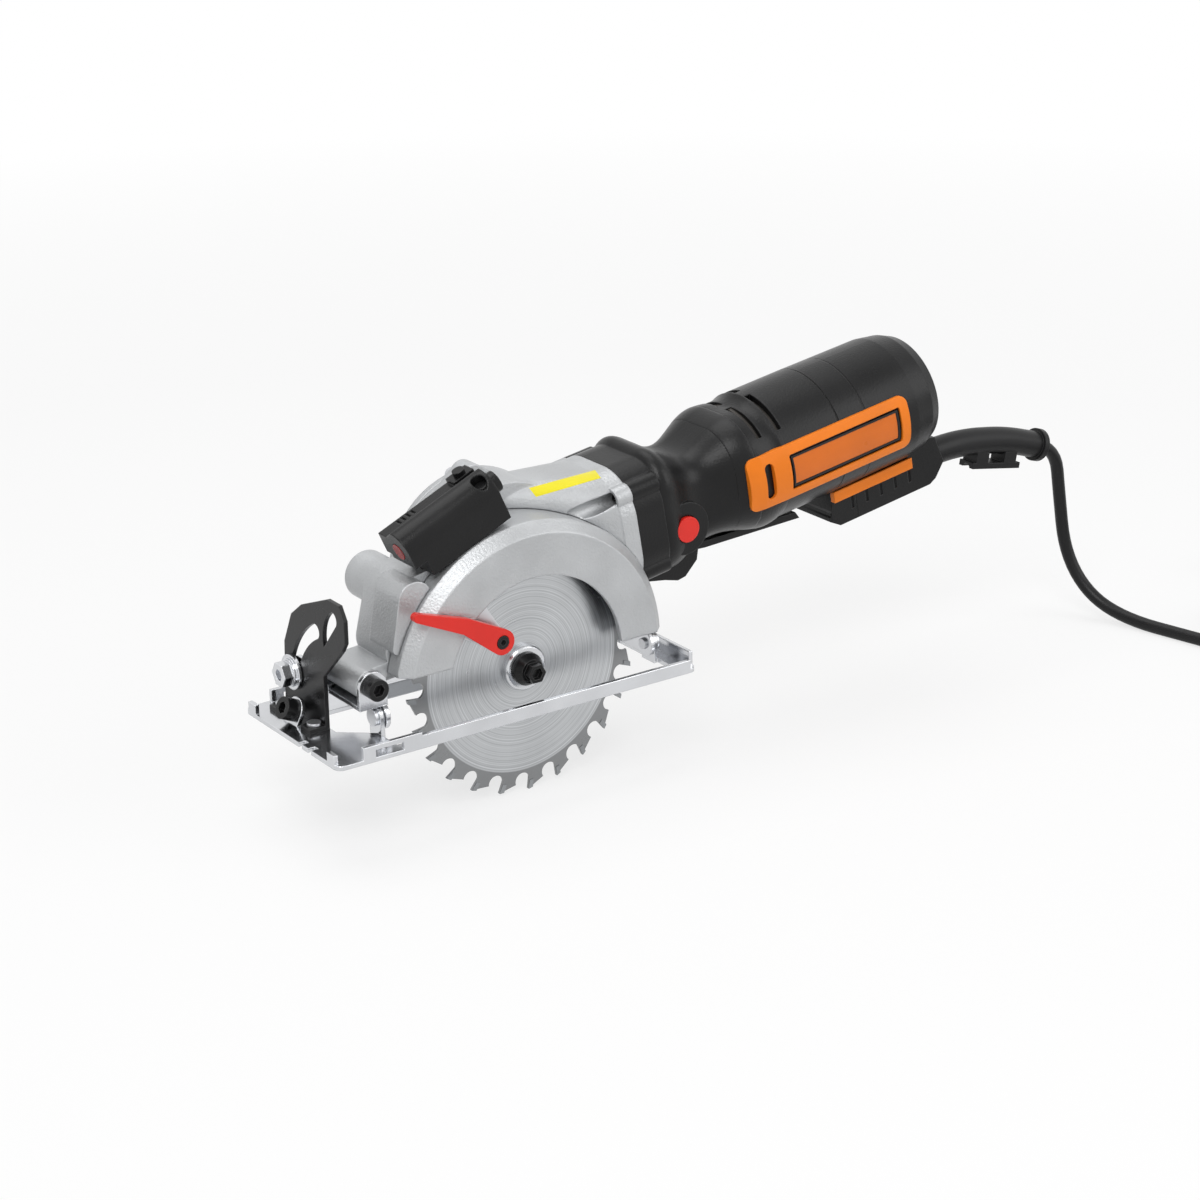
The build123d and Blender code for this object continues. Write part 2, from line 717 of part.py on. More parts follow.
def make_gear_cover():
    """Far side cover of the chamber, with the layshaft's bearing seat and the spindle lock's guide."""
    inner = chamber_r - case_wall
    far = case_far + cover_thickness
    seat = layshaft_dia / 2 + bearing_wall
    cover = along_y(case_far, far, lay_x, lay_z, chamber_r)
    cover += along_y(case_far - 3, case_far, lay_x, lay_z, seat + 3)
    cover += along_y(far, far + 4, lock_x(), lock_z(), 8)
    lug = plate_xz(hull((depth_bolt_x, depth_bolt_z, 8), (lay_x + 8, lay_z - 14, 12)), case_far, depth_plate_y - gap)
    cover += lug
    cover += along_y(depth_bolt_start(), case_far + 1, depth_bolt_x, depth_bolt_z, 6.5) & along_y(
        case_far - 9, case_far + 9, lay_x, lay_z, inner - gap
    )
    cover -= along_y(case_far - 4, case_far - 3 + bearing_width + 1, lay_x, lay_z, seat)
    cover -= along_y(case_far - 1, far + 5, lock_x(), lock_z(), lock_r() + running)
    cover -= along_y(case_far - 9, far + 5, depth_bolt_x, depth_bolt_z, depth_bolt_dia / 2 + running)
    for x, z in cover_screw_places():
        cover -= along_y(case_far - 1, far + 1, x, z, 1.6 + running)
    return cover


def depth_bolt_start():
    """Inner end of the depth bolt, clear of the bevel gear."""
    return case_far - 3.4


def lock_x():
    """Spindle lock button, opposite the bevel gear's web."""
    return -18.0


def lock_z():
    """Height of the spindle lock button."""
    return lay_z + 12.0


def lock_r():
    """Radius of the spindle lock's stem."""
    return 3.0


def make_case_screws():
    """Screws of the gear cover."""
    far = case_far + cover_thickness
    solids = []
    for x, z in cover_screw_places():
        screw = along_y(case_far - 9, far, x, z, 1.6 - running / 2) + along_y(far, far + 2.2, x, z, 3.1)
        solids.append(screw - plate_xz(Pos(x, z) * hexagon(2.6), far + 1, far + 3))
    return solids


def make_flange_screws():
    """Four screws that hold the motor housing to the gear case, heads on the case side."""
    solids = []
    for shank, head in zip(flange_holes(-2.6, flange_length - 2, 2.0), flange_holes(-5.0, -2.6, 3.4)):
        solids.append(shank + head)
    return solids


def make_spindle_lock():
    """Spindle lock button on the far side."""
    far = case_far + cover_thickness
    return along_y(case_far - 2, far + 4, lock_x(), lock_z(), lock_r()) + along_y(
        far + 4 + lock_travel() + gap, far + 12, lock_x(), lock_z(), 7
    ) + along_y(far + 4, far + 6 + lock_travel(), lock_x(), lock_z(), lock_r())


def lock_travel():
    """How far the spindle lock is pressed before it meets the gear."""
    return 2.0


# Blade group on the spindle


def tooth_tip(angle):
    """Outline of one carbide tip, in the blade's own plane."""
    r = blade_r
    face_root = polar(r - tip_height, angle + 0.7)
    back = math.degrees(tip_length / r)
    return outline(polar(r, angle), face_root, polar(r - tip_height, angle + 0.7 + back), polar(r - 0.5, angle + back))


def make_blade():
    """Saw plate with hooked teeth and round gullets, notched for its tips."""
    pitch = 360 / tooth_count
    r = blade_r
    lines = []
    for i in range(tooth_count):
        tip = tooth_phase + pitch * i
        heel = polar(r - 3.4, tip + pitch * 0.55)
        floor = polar(r - tooth_depth, tip + pitch * 0.84)
        root = polar(r - tooth_depth * 0.72, tip + pitch * 1.05)
        lines.append(Line(polar(r - 0.2, tip), heel))
        lines.append(ThreePointArc(heel, floor, root))
        lines.append(Line(root, polar(r - 0.2, tip + pitch)))
    disc = make_face(lines) - Circle(blade_bore_dia / 2)
    for i in range(tooth_count):
        disc -= tooth_tip(tooth_phase + pitch * i)
    return plate_xz(Pos(0, spindle_z) * disc, -blade_plate / 2, blade_plate / 2)


def make_blade_tips():
    """The carbide tips, a little wider than the plate."""
    pitch = 360 / tooth_count
    solids = []
    for i in range(tooth_count):
        face = Pos(0, spindle_z) * tooth_tip(tooth_phase + pitch * i)
        solids.append(plate_xz(face, -tip_kerf / 2, tip_kerf / 2))
    return solids


def flange_r():
    """Radius of the blade flanges."""
    return 10.5


def make_inner_flange():
    """Flange behind the blade."""
    ring = Circle(flange_r()) - Circle(blade_bore_dia / 2)
    return plate_xz(Pos(0, spindle_z) * ring, blade_plate / 2, 3.4)


def make_outer_flange():
    """Chrome flange in front of the blade."""
    face = along_y(-3.8, -blade_plate / 2, 0, spindle_z, flange_r())
    face = chamfer(face.faces().sort_by(Axis.Y)[0].edges(), 0.8)
    return face - along_y(-9, 1, 0, spindle_z, bolt_r() + running)


def bolt_r():
    """Radius of the blade bolt's thread."""
    return 3.0


def make_blade_bolt():
    """Black blade bolt: wide domed collar and a hex end."""
    dome = outline((0, -3.8), (7.6, -3.8), (7.6, -5.2), (5.6, -8.6), (0, -8.6))
    head = revolve(Plane((0, 0, spindle_z), (1, 0, 0), (0, 0, 1)) * dome, Axis((0, 0, spindle_z), (0, 1, 0)))
    head += plate_xz(Pos(0, spindle_z) * hexagon(8), -12.4, -8.6)
    head -= plate_xz(Pos(0, spindle_z) * hexagon(5), -13, -10)
    return head + along_y(-3.8, 13, 0, spindle_z, bolt_r())


def make_spindle():
    """Output shaft, drilled for the blade bolt."""
    far = spur_near + spur_width + 1.2 + bearing_width
    shaft = along_y(3.4 + 0.02, far, 0, spindle_z, spindle_dia / 2)
    shaft += along_y(-0.4, 3.6, 0, spindle_z, blade_bore_dia / 2 - running)
    return shaft - along_y(-2, 14, 0, spindle_z, bolt_r() + running)


def make_spindle_gear():
    """Last gear of the train."""
    line_one = spur_places()[1]
    face = gear_outline(spindle_teeth, spur_module, line_one) - Circle(spindle_dia / 2 + running)
    return plate_xz(Pos(0, spindle_z) * face, spur_near, spur_near + spur_width)


def make_idler_gear():
    """Idler between layshaft and spindle."""
    idler, line_one, _ = spur_places()
    face = gear_outline(idler_teeth, spur_module, idler_phase(line_one)) - Circle(idler_pin_dia / 2 + running)
    return plate_xz(Pos(*idler) * face, spur_near, spur_near + spur_width)


def idler_phase(line_one):
    """Angle of one idler tooth, so that a gap faces the spindle gear's tooth."""
    return line_one + 180 + 180 / idler_teeth


def make_layshaft():
    """Second shaft, with its pinion cut on it."""
    _, line_one, line_two = spur_places()
    pitch = 360 / idler_teeth
    part_pitch = ((line_two - idler_phase(line_one)) / pitch) % 1
    phase = line_two + 180 + (part_pitch + 0.5) * 360 / lay_teeth
    teeth = gear_outline(lay_teeth, spur_module, phase)
    shaft = along_y(case_near + 1, case_far + 1.2, lay_x, lay_z, layshaft_dia / 2)
    return shaft + plate_xz(Pos(lay_x, lay_z) * teeth, spur_near, spur_near + spur_width)


def bevel_pitch_r():
    """Outer pitch radius of the large bevel gear."""
    return bevel_module * bevel_teeth / 2


def pinion_pitch_r():
    """Outer pitch radius of the bevel pinion."""
    return bevel_module * pinion_teeth / 2


def make_bevel_gear():
    """Large bevel gear on the layshaft, its teeth facing the motor line."""
    outer = bevel_pitch_r()
    inner = outer - bevel_face
    rise = pinion_pitch_r() / outer
    tall = bevel_module * 0.7
    deep = bevel_module * 1.15
    section = outline(
        (layshaft_dia / 2 + running, motor_y + 8),
        (inner - 1, motor_y + inner * rise + deep),
        (outer, motor_y + outer * rise + deep),
        (outer, motor_y + outer * rise + deep + 4),
        (9.5, motor_y + outer * rise + deep + 4),
        (9, case_far - 3.6),
        (layshaft_dia / 2 + running, case_far - 3.6),
    )
    gear = revolve(Plane((lay_x, 0, lay_z), (1, 0, 0), (0, 0, 1)) * section, Axis((lay_x, 0, lay_z), (0, 1, 0)))
    teeth = []
    for i in range(bevel_teeth):
        turn = motor_tilt + 360 * (i + 0.5) / bevel_teeth
        ends = []
        for r in (inner, outer):
            half = math.pi * bevel_module * r / outer / 4 * 0.58
            foot = motor_y + r * rise + deep + 0.3
            crest = motor_y + r * rise - tall
            place = Plane((r, 0, 0), (0, 0, 1), (1, 0, 0))
            trapezium = outline((-half * 1.5, -foot), (-half * 0.6, -crest), (half * 0.6, -crest), (half * 1.5, -foot))
            ends.append(place * trapezium)
        teeth.append(Pos(lay_x, 0, lay_z) * Rot(0, -turn, 0) * loft(ends, ruled=True))
    gear = gear.fuse(*teeth)
    for i in range(6):
        x, z = polar(13.5, motor_tilt + 30 + 60 * i, lay_x, lay_z)
        gear -= along_y(motor_y, case_far, x, z, 3)
    return gear


# Motor, modelled along its own line and then set at its tilt


def make_bevel_pinion():
    """Small bevel pinion on the end of the armature shaft."""
    outer = bevel_pitch_r()
    inner = outer - bevel_face
    apex_s = (lay_x - motor_x) / math.cos(tilt)
    ends = []
    for r in (inner, outer):
        face = gear_outline(pinion_teeth, bevel_module * r / outer, 0, 0.58, 0.7)
        ends.append(Plane((apex_s + r, 0, 0), (0, 1, 0), (1, 0, 0)) * face)
    pinion = loft(ends, ruled=True) - along_x(apex_s, 0, 0, 0, pinion_bore())
    return motor_place * pinion


def pinion_bore():
    """Bore of the bevel pinion."""
    return 2.5


def make_armature_shaft():
    """Armature shaft from the pinion to the rear bearing."""
    apex_s = (lay_x - motor_x) / math.cos(tilt)
    outer = bevel_pitch_r()
    shaft = along_x(apex_s + outer + 0.1, rear_bearing_s() + 7, 0, 0, shaft_dia / 2)
    return motor_place * (shaft + along_x(apex_s + outer - bevel_face, apex_s + outer + 1, 0, 0, pinion_bore() - running))


def rear_bearing_s():
    """Station of the rear motor bearing on the motor line."""
    return 141.0


def make_armature_core():
    """Slotted armature laminations with end windings."""
    slots = 10
    core = Circle(17.2)
    for i in range(slots):
        core -= Rot(0, 0, 360 * i / slots) * Pos(15.5, 0) * Rectangle(6, 2.2)
    stack = extrude(Plane((75, 0, 0), (0, 1, 0), (1, 0, 0)) * core, 40)
    stack += along_x(70, 75, 0, 0, 14) + along_x(115, 120, 0, 0, 14)
    return motor_place * (stack - along_x(60, 130, 0, 0, shaft_dia / 2 + running))


def make_commutator():
    """Commutator with its segment gaps."""
    bars = 20
    ring = Circle(11) - Circle(shaft_dia / 2 + running)
    for i in range(bars):
        ring -= Rot(0, 0, 360 * i / bars) * Pos(11, 0) * Rectangle(1.6, 0.7)
    return motor_place * extrude(Plane((121.5, 0, 0), (0, 1, 0), (1, 0, 0)) * ring, 12)


def make_cooling_fan():
    """Fan on the drive end of the motor."""
    blades = 11
    fan = along_x(62.5, 64.5, 0, 0, 24) + along_x(60.5, 68.5, 0, 0, 8)
    vane = block(64.3, 68.5, -0.9, 0.9, 8.5, 24)
    for i in range(blades):
        fan += Rot(360 * i / blades, 0, 0) * Pos(0, 0, 0) * Rot(0, 0, 0) * vane
    for i in range(blades):
        fan += Rot(360 * i / blades, 0, 0) * block(64.3, 68.5, -0.9, 0.9, 6, 9)
    return motor_place * (fan - along_x(50, 75, 0, 0, shaft_dia / 2 + running))


def make_stator():
    """Two-pole field: a ring with pole shoes and two coils."""
    ring = Circle(stator_r()) - Circle(22)
    shoes = (Circle(22.5) - Circle(17.9)) & (Rectangle(60, 24))
    stack = extrude(Plane((75, 0, 0), (0, 1, 0), (1, 0, 0)) * (ring + shoes), 40)
    return motor_place * stack


def stator_r():
    """Outer radius of the field laminations, a close fit in the barrel."""
    return barrel_r - barrel_wall - 0.1


def make_motor_bearings():
    """Front and rear ball bearings of the armature."""
    front = bearing_ring(-7.2, 0.4, shaft_dia / 2 + 6)
    rear = bearing_ring(rear_bearing_s(), rear_bearing_s() + 6, 9)
    return [motor_place * front, motor_place * rear]


def bearing_ring(s0, s1, outer):
    """A bearing on the armature shaft."""
    return along_x(s0, s1, 0, 0, outer) - along_x(s0 - 1, s1 + 1, 0, 0, shaft_dia / 2 + running)


def make_gear_bearings():
    """Bearings of the spindle and the layshaft."""
    spur_far = spur_near + spur_width + 1.2
    seats = [
        (4.2, case_near + 0.6, 0, spindle_z, spindle_dia / 2),
        (spur_far, spur_far + bearing_width, 0, spindle_z, spindle_dia / 2),
        (case_near + 0.6, case_near + 0.6 + 4, lay_x, lay_z, layshaft_dia / 2),
        (case_far - 3, case_far - 3 + bearing_width, lay_x, lay_z, layshaft_dia / 2),
    ]
    solids = []
    for y0, y1, x, z, r in seats:
        solids.append(along_y(y0, y1, x, z, r + bearing_wall) - along_y(y0 - 1, y1 + 1, x, z, r + running))
    return solids


def make_idler_pin():
    """Fixed pin that carries the idler."""
    idler = spur_places()[0]
    return along_y(case_near + 0.6, spur_near + spur_width + 0.4, *idler, idler_pin_dia / 2)


def section_at(s, half_width, top, bottom, corner):
    """A rounded section of the housing at a station on the motor line."""
    face = RectangleRounded(2 * half_width, top - bottom, corner)
    return Plane((s, 0, (top + bottom) / 2), (0, 1, 0), (1, 0, 0)) * face


def housing_outside(grow=0.0):
    """The housing's outer form from flange to split: neck, shoulder and barrel."""
    barrel = barrel_r + grow
    waist = [
        section_at(flange_length - 1, flange_half - 1.5, flange_half - 0.5, -flange_half, flange_corner),
        section_at(27, flange_half - 3.5, flange_half - 2.5, -flange_half + 1, flange_corner - 5),
        section_at(39, barrel - 10.1, barrel - 12, 6.6 - barrel, 13),
        section_at(52, barrel - 7.1, barrel - 8.4, 7.1 - barrel, 17),
        section_at(66, barrel - 2.2, barrel - 2.8, 3.6 - barrel, 22),
        section_at(barrel_start, barrel, barrel, -barrel, barrel - 0.4),
    ]
    return loft(waist) + along_x(barrel_start, split_s, 0, 0, barrel)


def under(rise):
    """A height given from the barrel's underside."""
    return rise - barrel_r


def trigger_space():
    """Recess that lets the trigger be pressed."""
    end = trigger_hinge_s() + 1.4
    side = outline((42, under(8.8)), (end, under(-0.6)), (end, under(-13)), (42, under(-13)))
    return extrude(Plane((0, -9.3, 0), (1, 0, 0), (0, -1, 0)) * side, -18.6)


def make_motor_housing():
    """Black housing: flange, slim neck that is the grip, shoulder with vents and front half of the barrel."""
    shell = housing_outside()
    shell += flange_plate(0, flange_length)
    shell += finger_stop()
    shell += along_y(-button_boss(), button_boss(), button_s(), button_z(), 12.5)
    shell -= along_x(62 - 4, split_s + 1, 0, 0, barrel_r - barrel_wall)
    shell -= along_x(-1, 60, 0, 0, neck_bore_r)
    shell -= switch_space(0.3) + trigger_space()
    for y0, y1 in ((-40, -lock_wall()), (lock_wall(), 40)):
        shell -= along_y(y0, y1, button_s(), button_z(), button_r() + gap)
    shell -= along_y(-40, 40, button_s(), button_z() - 2.4, 3 + gap)
    for bar in vent_slots():
        shell -= bar
    shell = motor_place * shell
    for bar in flange_holes(-1, flange_length - 1, 2.1):
        shell -= bar
    return shell - along_y(-30, case_near + gap, 0, spindle_z, guard_rim_r + gap)


def finger_stop():
    """The wedge under the flange that keeps the hand off the guard."""
    low = -flange_half
    side = outline(
        (9, low + 5), (9, low - 2.5), (20, low - 6), (27, low - 9), (31.5, low - 8.6), (39, low - 3), (41.6, low + 5)
    )
    return extrude(Plane((0, -13, 0), (1, 0, 0), (0, -1, 0)) * side, -26)


def vent_slots():
    """Two curved air slots on each upper flank of the shoulder."""
    bars = []
    for s in (75.0, 86.2):
        ring = along_x(s - 1.7, s + 1.7, 0, 0, barrel_r + 4) - along_x(s - 3, s + 3, 0, 0, barrel_r - barrel_wall - 3)
        for side in (-1, 1):
            reach = outline((0, 0), polar(60, 90 - side * 6), polar(60, 90 - side * 52))
            flank = extrude(Plane((s - 4, 0, 0), (0, 1, 0), (1, 0, 0)) * reach, 8)
            bars.append(ring & flank)
    return bars


def button_s():
    """Station of the lock-off button."""
    return 27.0


def button_z():
    """Height of the lock-off button from the motor line."""
    return -7.6


def button_r():
    """Radius of the lock-off button's caps."""
    return 6.0


def button_boss():
    """Half the width over the round bosses that the button sits in."""
    return flange_half - 2.6


def lock_wall():
    """Half the width between the button's two wells."""
    return 17.0


def make_lock_button():
    """Red lock-off button that can be pushed from either side."""
    stem = along_y(-lock_wall() - 3.5, lock_wall() + 3.5, button_s(), button_z() - 2.4, 3)
    near = along_y(-button_reach(), -lock_wall() - 3, button_s(), button_z(), button_r())
    far = along_y(lock_wall() + 3, button_reach(), button_s(), button_z(), button_r())
    return motor_place * (stem + near + far)


def button_reach():
    """How far the button's caps stand from the middle."""
    return 28.0


def switch_space(grow):
    """The box that the switch fills in the neck."""
    return block(41 - grow, 59 + grow, -8 - grow, 8 + grow, under(2), under(17) + grow)


def make_switch_body():
    """Trigger switch in the neck."""
    return motor_place * block(41, 59, -8, 8, under(9), under(17))


def make_trigger():
    """Paddle trigger along the underside, hinged at its rear end, with grip bumps."""
    end = trigger_hinge_s()
    side = outline((43, under(5.2)), (end, under(-1.3)), (end + 2, under(-5)), (47, under(1.4)), (43, under(2.2)))
    paddle = extrude(Plane((0, -9, 0), (1, 0, 0), (0, -1, 0)) * side, -18)
    for i in range(5):
        s = 58 + 8 * i
        z = under(0.2) - 0.115 * (s - 58)
        paddle += block(s, s + 4, -6.5, 6.5, z - 0.9, z + 1.5)
    return motor_place * paddle


def trigger_hinge_s():
    """Station of the trigger's hinge."""
    return 101.0


def rear_profile():
    """Half section of the rear cover's outside."""
    tail = rear_s
    return outline(
        (split_s, 0),
        (split_s, barrel_r),
        (tail - 17, barrel_r - 0.4),
        (tail - 7, barrel_r - 2),
        (tail - 1.5, rear_face_r + 0.8),
        (tail, rear_face_r - 1.5),
        (tail, 0),
    )


def make_rear_cover():
    """Rear half of the barrel with the rounded end and the lower block for switch gear and cord."""
    turned = revolve(Plane((0, 0, 0), (1, 0, 0), (0, -1, 0)) * rear_profile(), Axis.X)
    side = outline(
        (block_start + 7, under(11.6)),
        (block_start, block_bottom + 4),
        (block_start + 6, block_bottom),
        (block_end - 10, block_bottom),
        (block_end - 6, block_bottom + 2),
        (block_end, block_bottom + 9),
        (block_end - 4, under(7.6)),
        (block_end - 20, under(11.6)),
    )
    lower = extrude(Plane((0, -block_half, 0), (1, 0, 0), (0, -1, 0)) * side, -2 * block_half)
    lower -= along_x(block_start - 5, split_s, 0, 0, barrel_r + gap)
    for i in range(5):
        for y in (-block_half, block_half):
            s = block_start + 14 + 9 * i
            lower -= block(s, s + 1.6, y - 0.8, y + 0.8, block_bottom + 6, block_bottom + 16)
    shell = turned + lower
    inner = barrel_r - barrel_wall
    shell -= along_x(split_s - 1, rear_bearing_s() - 1.5, 0, 0, inner)
    shell -= along_x(rear_bearing_s() - 2, rear_bearing_s() + 8, 0, 0, 9)
    shell -= along_x(rear_bearing_s() + 9.5, rear_s - 4, 0, 0, rear_face_r - 4)
    shell = motor_place * shell
    return shell - sleeve_root_hole()


def make_brush_holders():
    """Two brush holders beside the commutator."""
    solids = []
    for side in (-1, 1):
        y0, y1 = sorted((side * 13, side * (barrel_r - barrel_wall - 0.7)))
        tube = block(123, 132, y0, y1, -5, 5) - block(124.4, 130.6, y0 - 1, y1 + 1, -3.2, 3.2)
        solids.append(motor_place * tube)
    return solids


def make_carbon_brushes():
    """Carbon brushes that press on the commutator."""
    solids = []
    for side in (-1, 1):
        y0, y1 = sorted((side * 11.1, side * 24))
        solids.append(motor_place * block(124.5, 130.5, y0, y1, -3.1, 3.1))
    return solids


def make_side_panels():
    """Orange panels on both flanks, each with an air slot and a recess."""
    skin = outline(
        (panel_front, 0),
        (panel_front, barrel_r - 0.4),
        (panel_front + 8, barrel_r + 1),
        (barrel_start, barrel_r + panel_thickness),
        (panel_rear, barrel_r + panel_thickness),
        (panel_rear, 0),
    )
    ring = revolve(Plane((0, 0, 0), (1, 0, 0), (0, -1, 0)) * skin, Axis.X) - housing_outside(0.05)
    ring -= along_x(barrel_start - 1, panel_rear + 1, 0, 0, barrel_r + 0.04)
    ring -= along_x(panel_front - 1, barrel_start, 0, 0, barrel_r - 7)
    middle = (panel_front + panel_rear) / 2
    face = Pos(middle, 0) * RectangleRounded(panel_rear - panel_front, 2 * panel_half, 4)
    face -= Pos(panel_front + 11, 0) * RectangleRounded(5, 2 * panel_half - 9, 2.4)
    face -= Pos(middle + 9, 0) * RectangleRounded(67, 2 * panel_half - 9, 1)
    solids = []
    for side in (-1, 1):
        cutter = extrude(Plane((0, 0, 0), (1, 0, 0), (0, -1, 0)) * face, -side * 40)
        panel = (ring & cutter).solids().sort_by(SortBy.VOLUME)[-1]
        solids.append(motor_place * panel)
    return solids


def make_trim_strips():
    """Orange strips where the lower block meets the barrel."""
    solids = []
    for side in (-1, 1):
        y0, y1 = sorted((side * (block_half + 0.04), side * (block_half + 3)))
        bar = block(block_start + 2, 168, y0, y1, under(-1.4), under(4.1)) - along_x(100, 180, 0, 0, barrel_r + 0.2)
        solids.append(motor_place * bar)
    return solids


def make_rear_screws():
    """Screws that hold the rear cover, in its end face."""
    solids = []
    for angle in (45, 135, 225, 315):
        y, z = polar(20, angle)
        solids.append(motor_place * (along_x(rear_s, rear_s + 1.6, y, z, 3)))
    return solids


# Laser guide on top of the guard


def laser_place():
    """The laser guide's own frame on the guard's rim: x back along its length, z away from the guard."""
    slope = math.radians(laser_tilt)
    seat = guard_rim_r + gap
    return Location((-seat * math.sin(slope), 0, spindle_z + seat * math.cos(slope)), (0, -laser_tilt, 0))


def make_laser_housing():
    """Half round laser guide with a flat near skirt and a ribbed screw shelf."""
    crease = laser_axis_z - 0.4
    edge = [
        Line((laser_near, 0), (laser_near, crease)),
        ThreePointArc((laser_near, crease), (laser_near + 2.8, laser_top - 2.9), (laser_axis_y + 0.5, laser_top)),
        Line((laser_axis_y + 0.5, laser_top), (laser_far - 6.5, laser_shelf)),
        Line((laser_far - 6.5, laser_shelf), (laser_far, laser_shelf)),
        Line((laser_far, laser_shelf), (laser_far, laser_shelf - 10)),
        Line((laser_far, laser_shelf - 10), (case_near - 0.5, laser_shelf - 10)),
        Line((case_near - 0.5, laser_shelf - 10), (case_near - 0.5, 0)),
        Line((case_near - 0.5, 0), (laser_near, 0)),
    ]
    length = laser_rear - laser_front
    body = extrude(Plane((laser_front, 0, 0), (0, 1, 0), (1, 0, 0)) * make_face(edge), length)
    body += block(laser_rear - 11, laser_rear, laser_far - 7, laser_far, laser_shelf - 2, laser_shelf + 1.9)
    body -= block(laser_front - 1, laser_front + 6, laser_near - 1, laser_far + 1, -1, laser_axis_z - 6)
    body -= along_x(laser_front - 1, laser_front + 1.6, laser_axis_y, laser_axis_z, 4)
    body -= along_x(laser_rear - 2, laser_rear + 1, laser_axis_y, laser_axis_z, 5 + gap)
    body -= along_z(laser_axis_z + 3.6, laser_top + 1, laser_rear - 5, laser_near + 4.6, 3.3)
    for i in range(4):
        u = laser_front + 9 + 2.6 * i
        body -= block(u, u + 1.2, laser_far - 5, laser_far - 1, laser_shelf - 0.8, laser_shelf + 1)
    body = laser_place() * body
    return body - along_y(-20, 40, 0, spindle_z, guard_rim_r + 0.05) - along_y(
        case_near - gap, 40, lay_x, lay_z, chamber_r + 0.05
    )


def make_laser_lens():
    """Window of the laser."""
    return laser_place() * along_x(laser_front - 0.2, laser_front + 1.6, laser_axis_y, laser_axis_z, 3.9)


def make_laser_switch():
    """Push switch in the laser guide's rear end."""
    start = laser_rear - 1.6 + laser_travel()
    return laser_place() * along_x(start, laser_rear + 4.8, laser_axis_y, laser_axis_z, 5)


def laser_travel():
    """Travel of the laser's switch."""
    return 1.2


def make_laser_screws():
    """Two screws of the laser guide, one on the shelf and one in a well on the near side."""
    shelf = along_z(laser_shelf + 1.9, laser_shelf + 4, laser_rear - 5.5, laser_far - 3.5, 2.8)
    well = along_z(laser_axis_z + 3.6, laser_axis_z + 5.8, laser_rear - 5, laser_near + 4.6, 2.9)
    return [laser_place() * shelf, laser_place() * well]


# Depth clamp on the far side


def make_depth_bolt():
    """Bolt of the depth clamp, through the slotted plate."""
    bolt = along_y(depth_bolt_start(), depth_plate_y + sheet + 13, depth_bolt_x, depth_bolt_z, depth_bolt_dia / 2)
    washer_y = depth_plate_y + sheet + 0.02
    return bolt + along_y(washer_y, washer_y + 1.4, depth_bolt_x, depth_bolt_z, 8)


def make_depth_lever():
    """Clamp lever on the depth bolt."""
    y0 = depth_plate_y + sheet + 1.6 + gap
    tip = polar(30, -8, depth_bolt_x, depth_bolt_z)
    arm = hull((depth_bolt_x, depth_bolt_z, 8.5), (*tip, 4))
    lever = plate_xz(arm, y0, y0 + 6) + along_y(y0, y0 + 9, depth_bolt_x, depth_bolt_z, 8.5)
    return lever - along_y(y0 - 1, y0 + 12, depth_bolt_x, depth_bolt_z, depth_bolt_dia / 2 + running)


# Cord


def sleeve_points():
    """Route of the strain relief's middle, from the lower block out to its end."""
    root = motor_place * Location((block_end - 16, 0, under(-5.4)))
    start = root.position
    return [start] + [start + Vector(x, 0, z) for x, z in ((39.3, 3.1), (68.3, -1.0), (92.3, -8.6))]


def sleeve_root_hole():
    """The hole in the lower block that the strain relief starts in."""
    points = sleeve_points()
    heading = (points[1] - points[0]).normalized()
    seat = Plane(points[0], z_dir=heading)
    return seat.location * Pos(0, 0, 20) * Cylinder(sleeve_dia / 2 + 0.02, 40)


def route(points, share=0.45):
    """Straight runs with an arc at each corner, as large as its two runs allow."""
    places = [Vector(*p) for p in points]
    radii = []
    for before, here, after in zip(places, places[1:], places[2:]):
        turn = math.radians((here - before).get_angle(after - here))
        shorter = min((here - before).length, (after - here).length)
        radii.append(share * shorter / math.tan(turn / 2))
    print("bend radii", [round(r, 1) for r in radii])
    return FilletPolyline(*places, radius=radii)


def tube(path, radius):
    """A round tube along a path."""
    start = Plane(path @ 0, z_dir=path % 0)
    solid = sweep(start * Circle(radius), path=path)
    print("tube volume over section times length", round(solid.volume / (math.pi * radius**2 * path.length), 4))
    return solid


def make_strain_relief():
    """Rubber sleeve with an end ring and the two-armed clip for the hex key."""
    path = route(sleeve_points())
    sleeve = tube(path, sleeve_dia / 2)
    end = path @ 1
    heading = path % 1
    ring = Plane(end - heading * 3, z_dir=heading).location * Pos(0, 0, 1.5) * Cylinder(sleeve_dia / 2 + 1.6, 3)
    sleeve += ring
    clip = block(-16, 16, -5, 5, -13.5, -10.5) + block(-14, -6, -5, 5, -11, -5) + block(5, 13, -5, 5, -11, -5)
    clip -= along_x(-20, 20, 0, -14.2, 2.6)
    middle = path @ 0.66
    slope = path % 0.66
    pitch = math.degrees(math.atan2(-slope.Z, slope.X))
    return sleeve + Location(middle, (0, pitch, 0)) * clip


def cord_points():
    """Route of the free cord, from the sleeve's end down to the coil on the floor."""
    lying = floor_z + cord_dia / 2
    start_x, start_y = polar(coil_outer_r(), coil_start_angle, coil_x, coil_y)
    ahead = polar(1, coil_start_angle + 90)
    lead_in = [(start_x - ahead[0] * d, start_y - ahead[1] * d, lying) for d in (cord_dia + 26, cord_dia)]
    end = sleeve_points()[-1]
    return [
        (end.X, end.Y, end.Z),
        (end.X + 12.5, motor_y, end.Z - 3.958),
        (end.X + 16.0, motor_y - 0.6, 18.5),
        (end.X + 19.0, motor_y - 3.5, -13.0),
        (end.X + 24.0, motor_y - 17, lying + 9),
        (end.X + 31.0, motor_y - 39, lying),
        *lead_in,
    ]


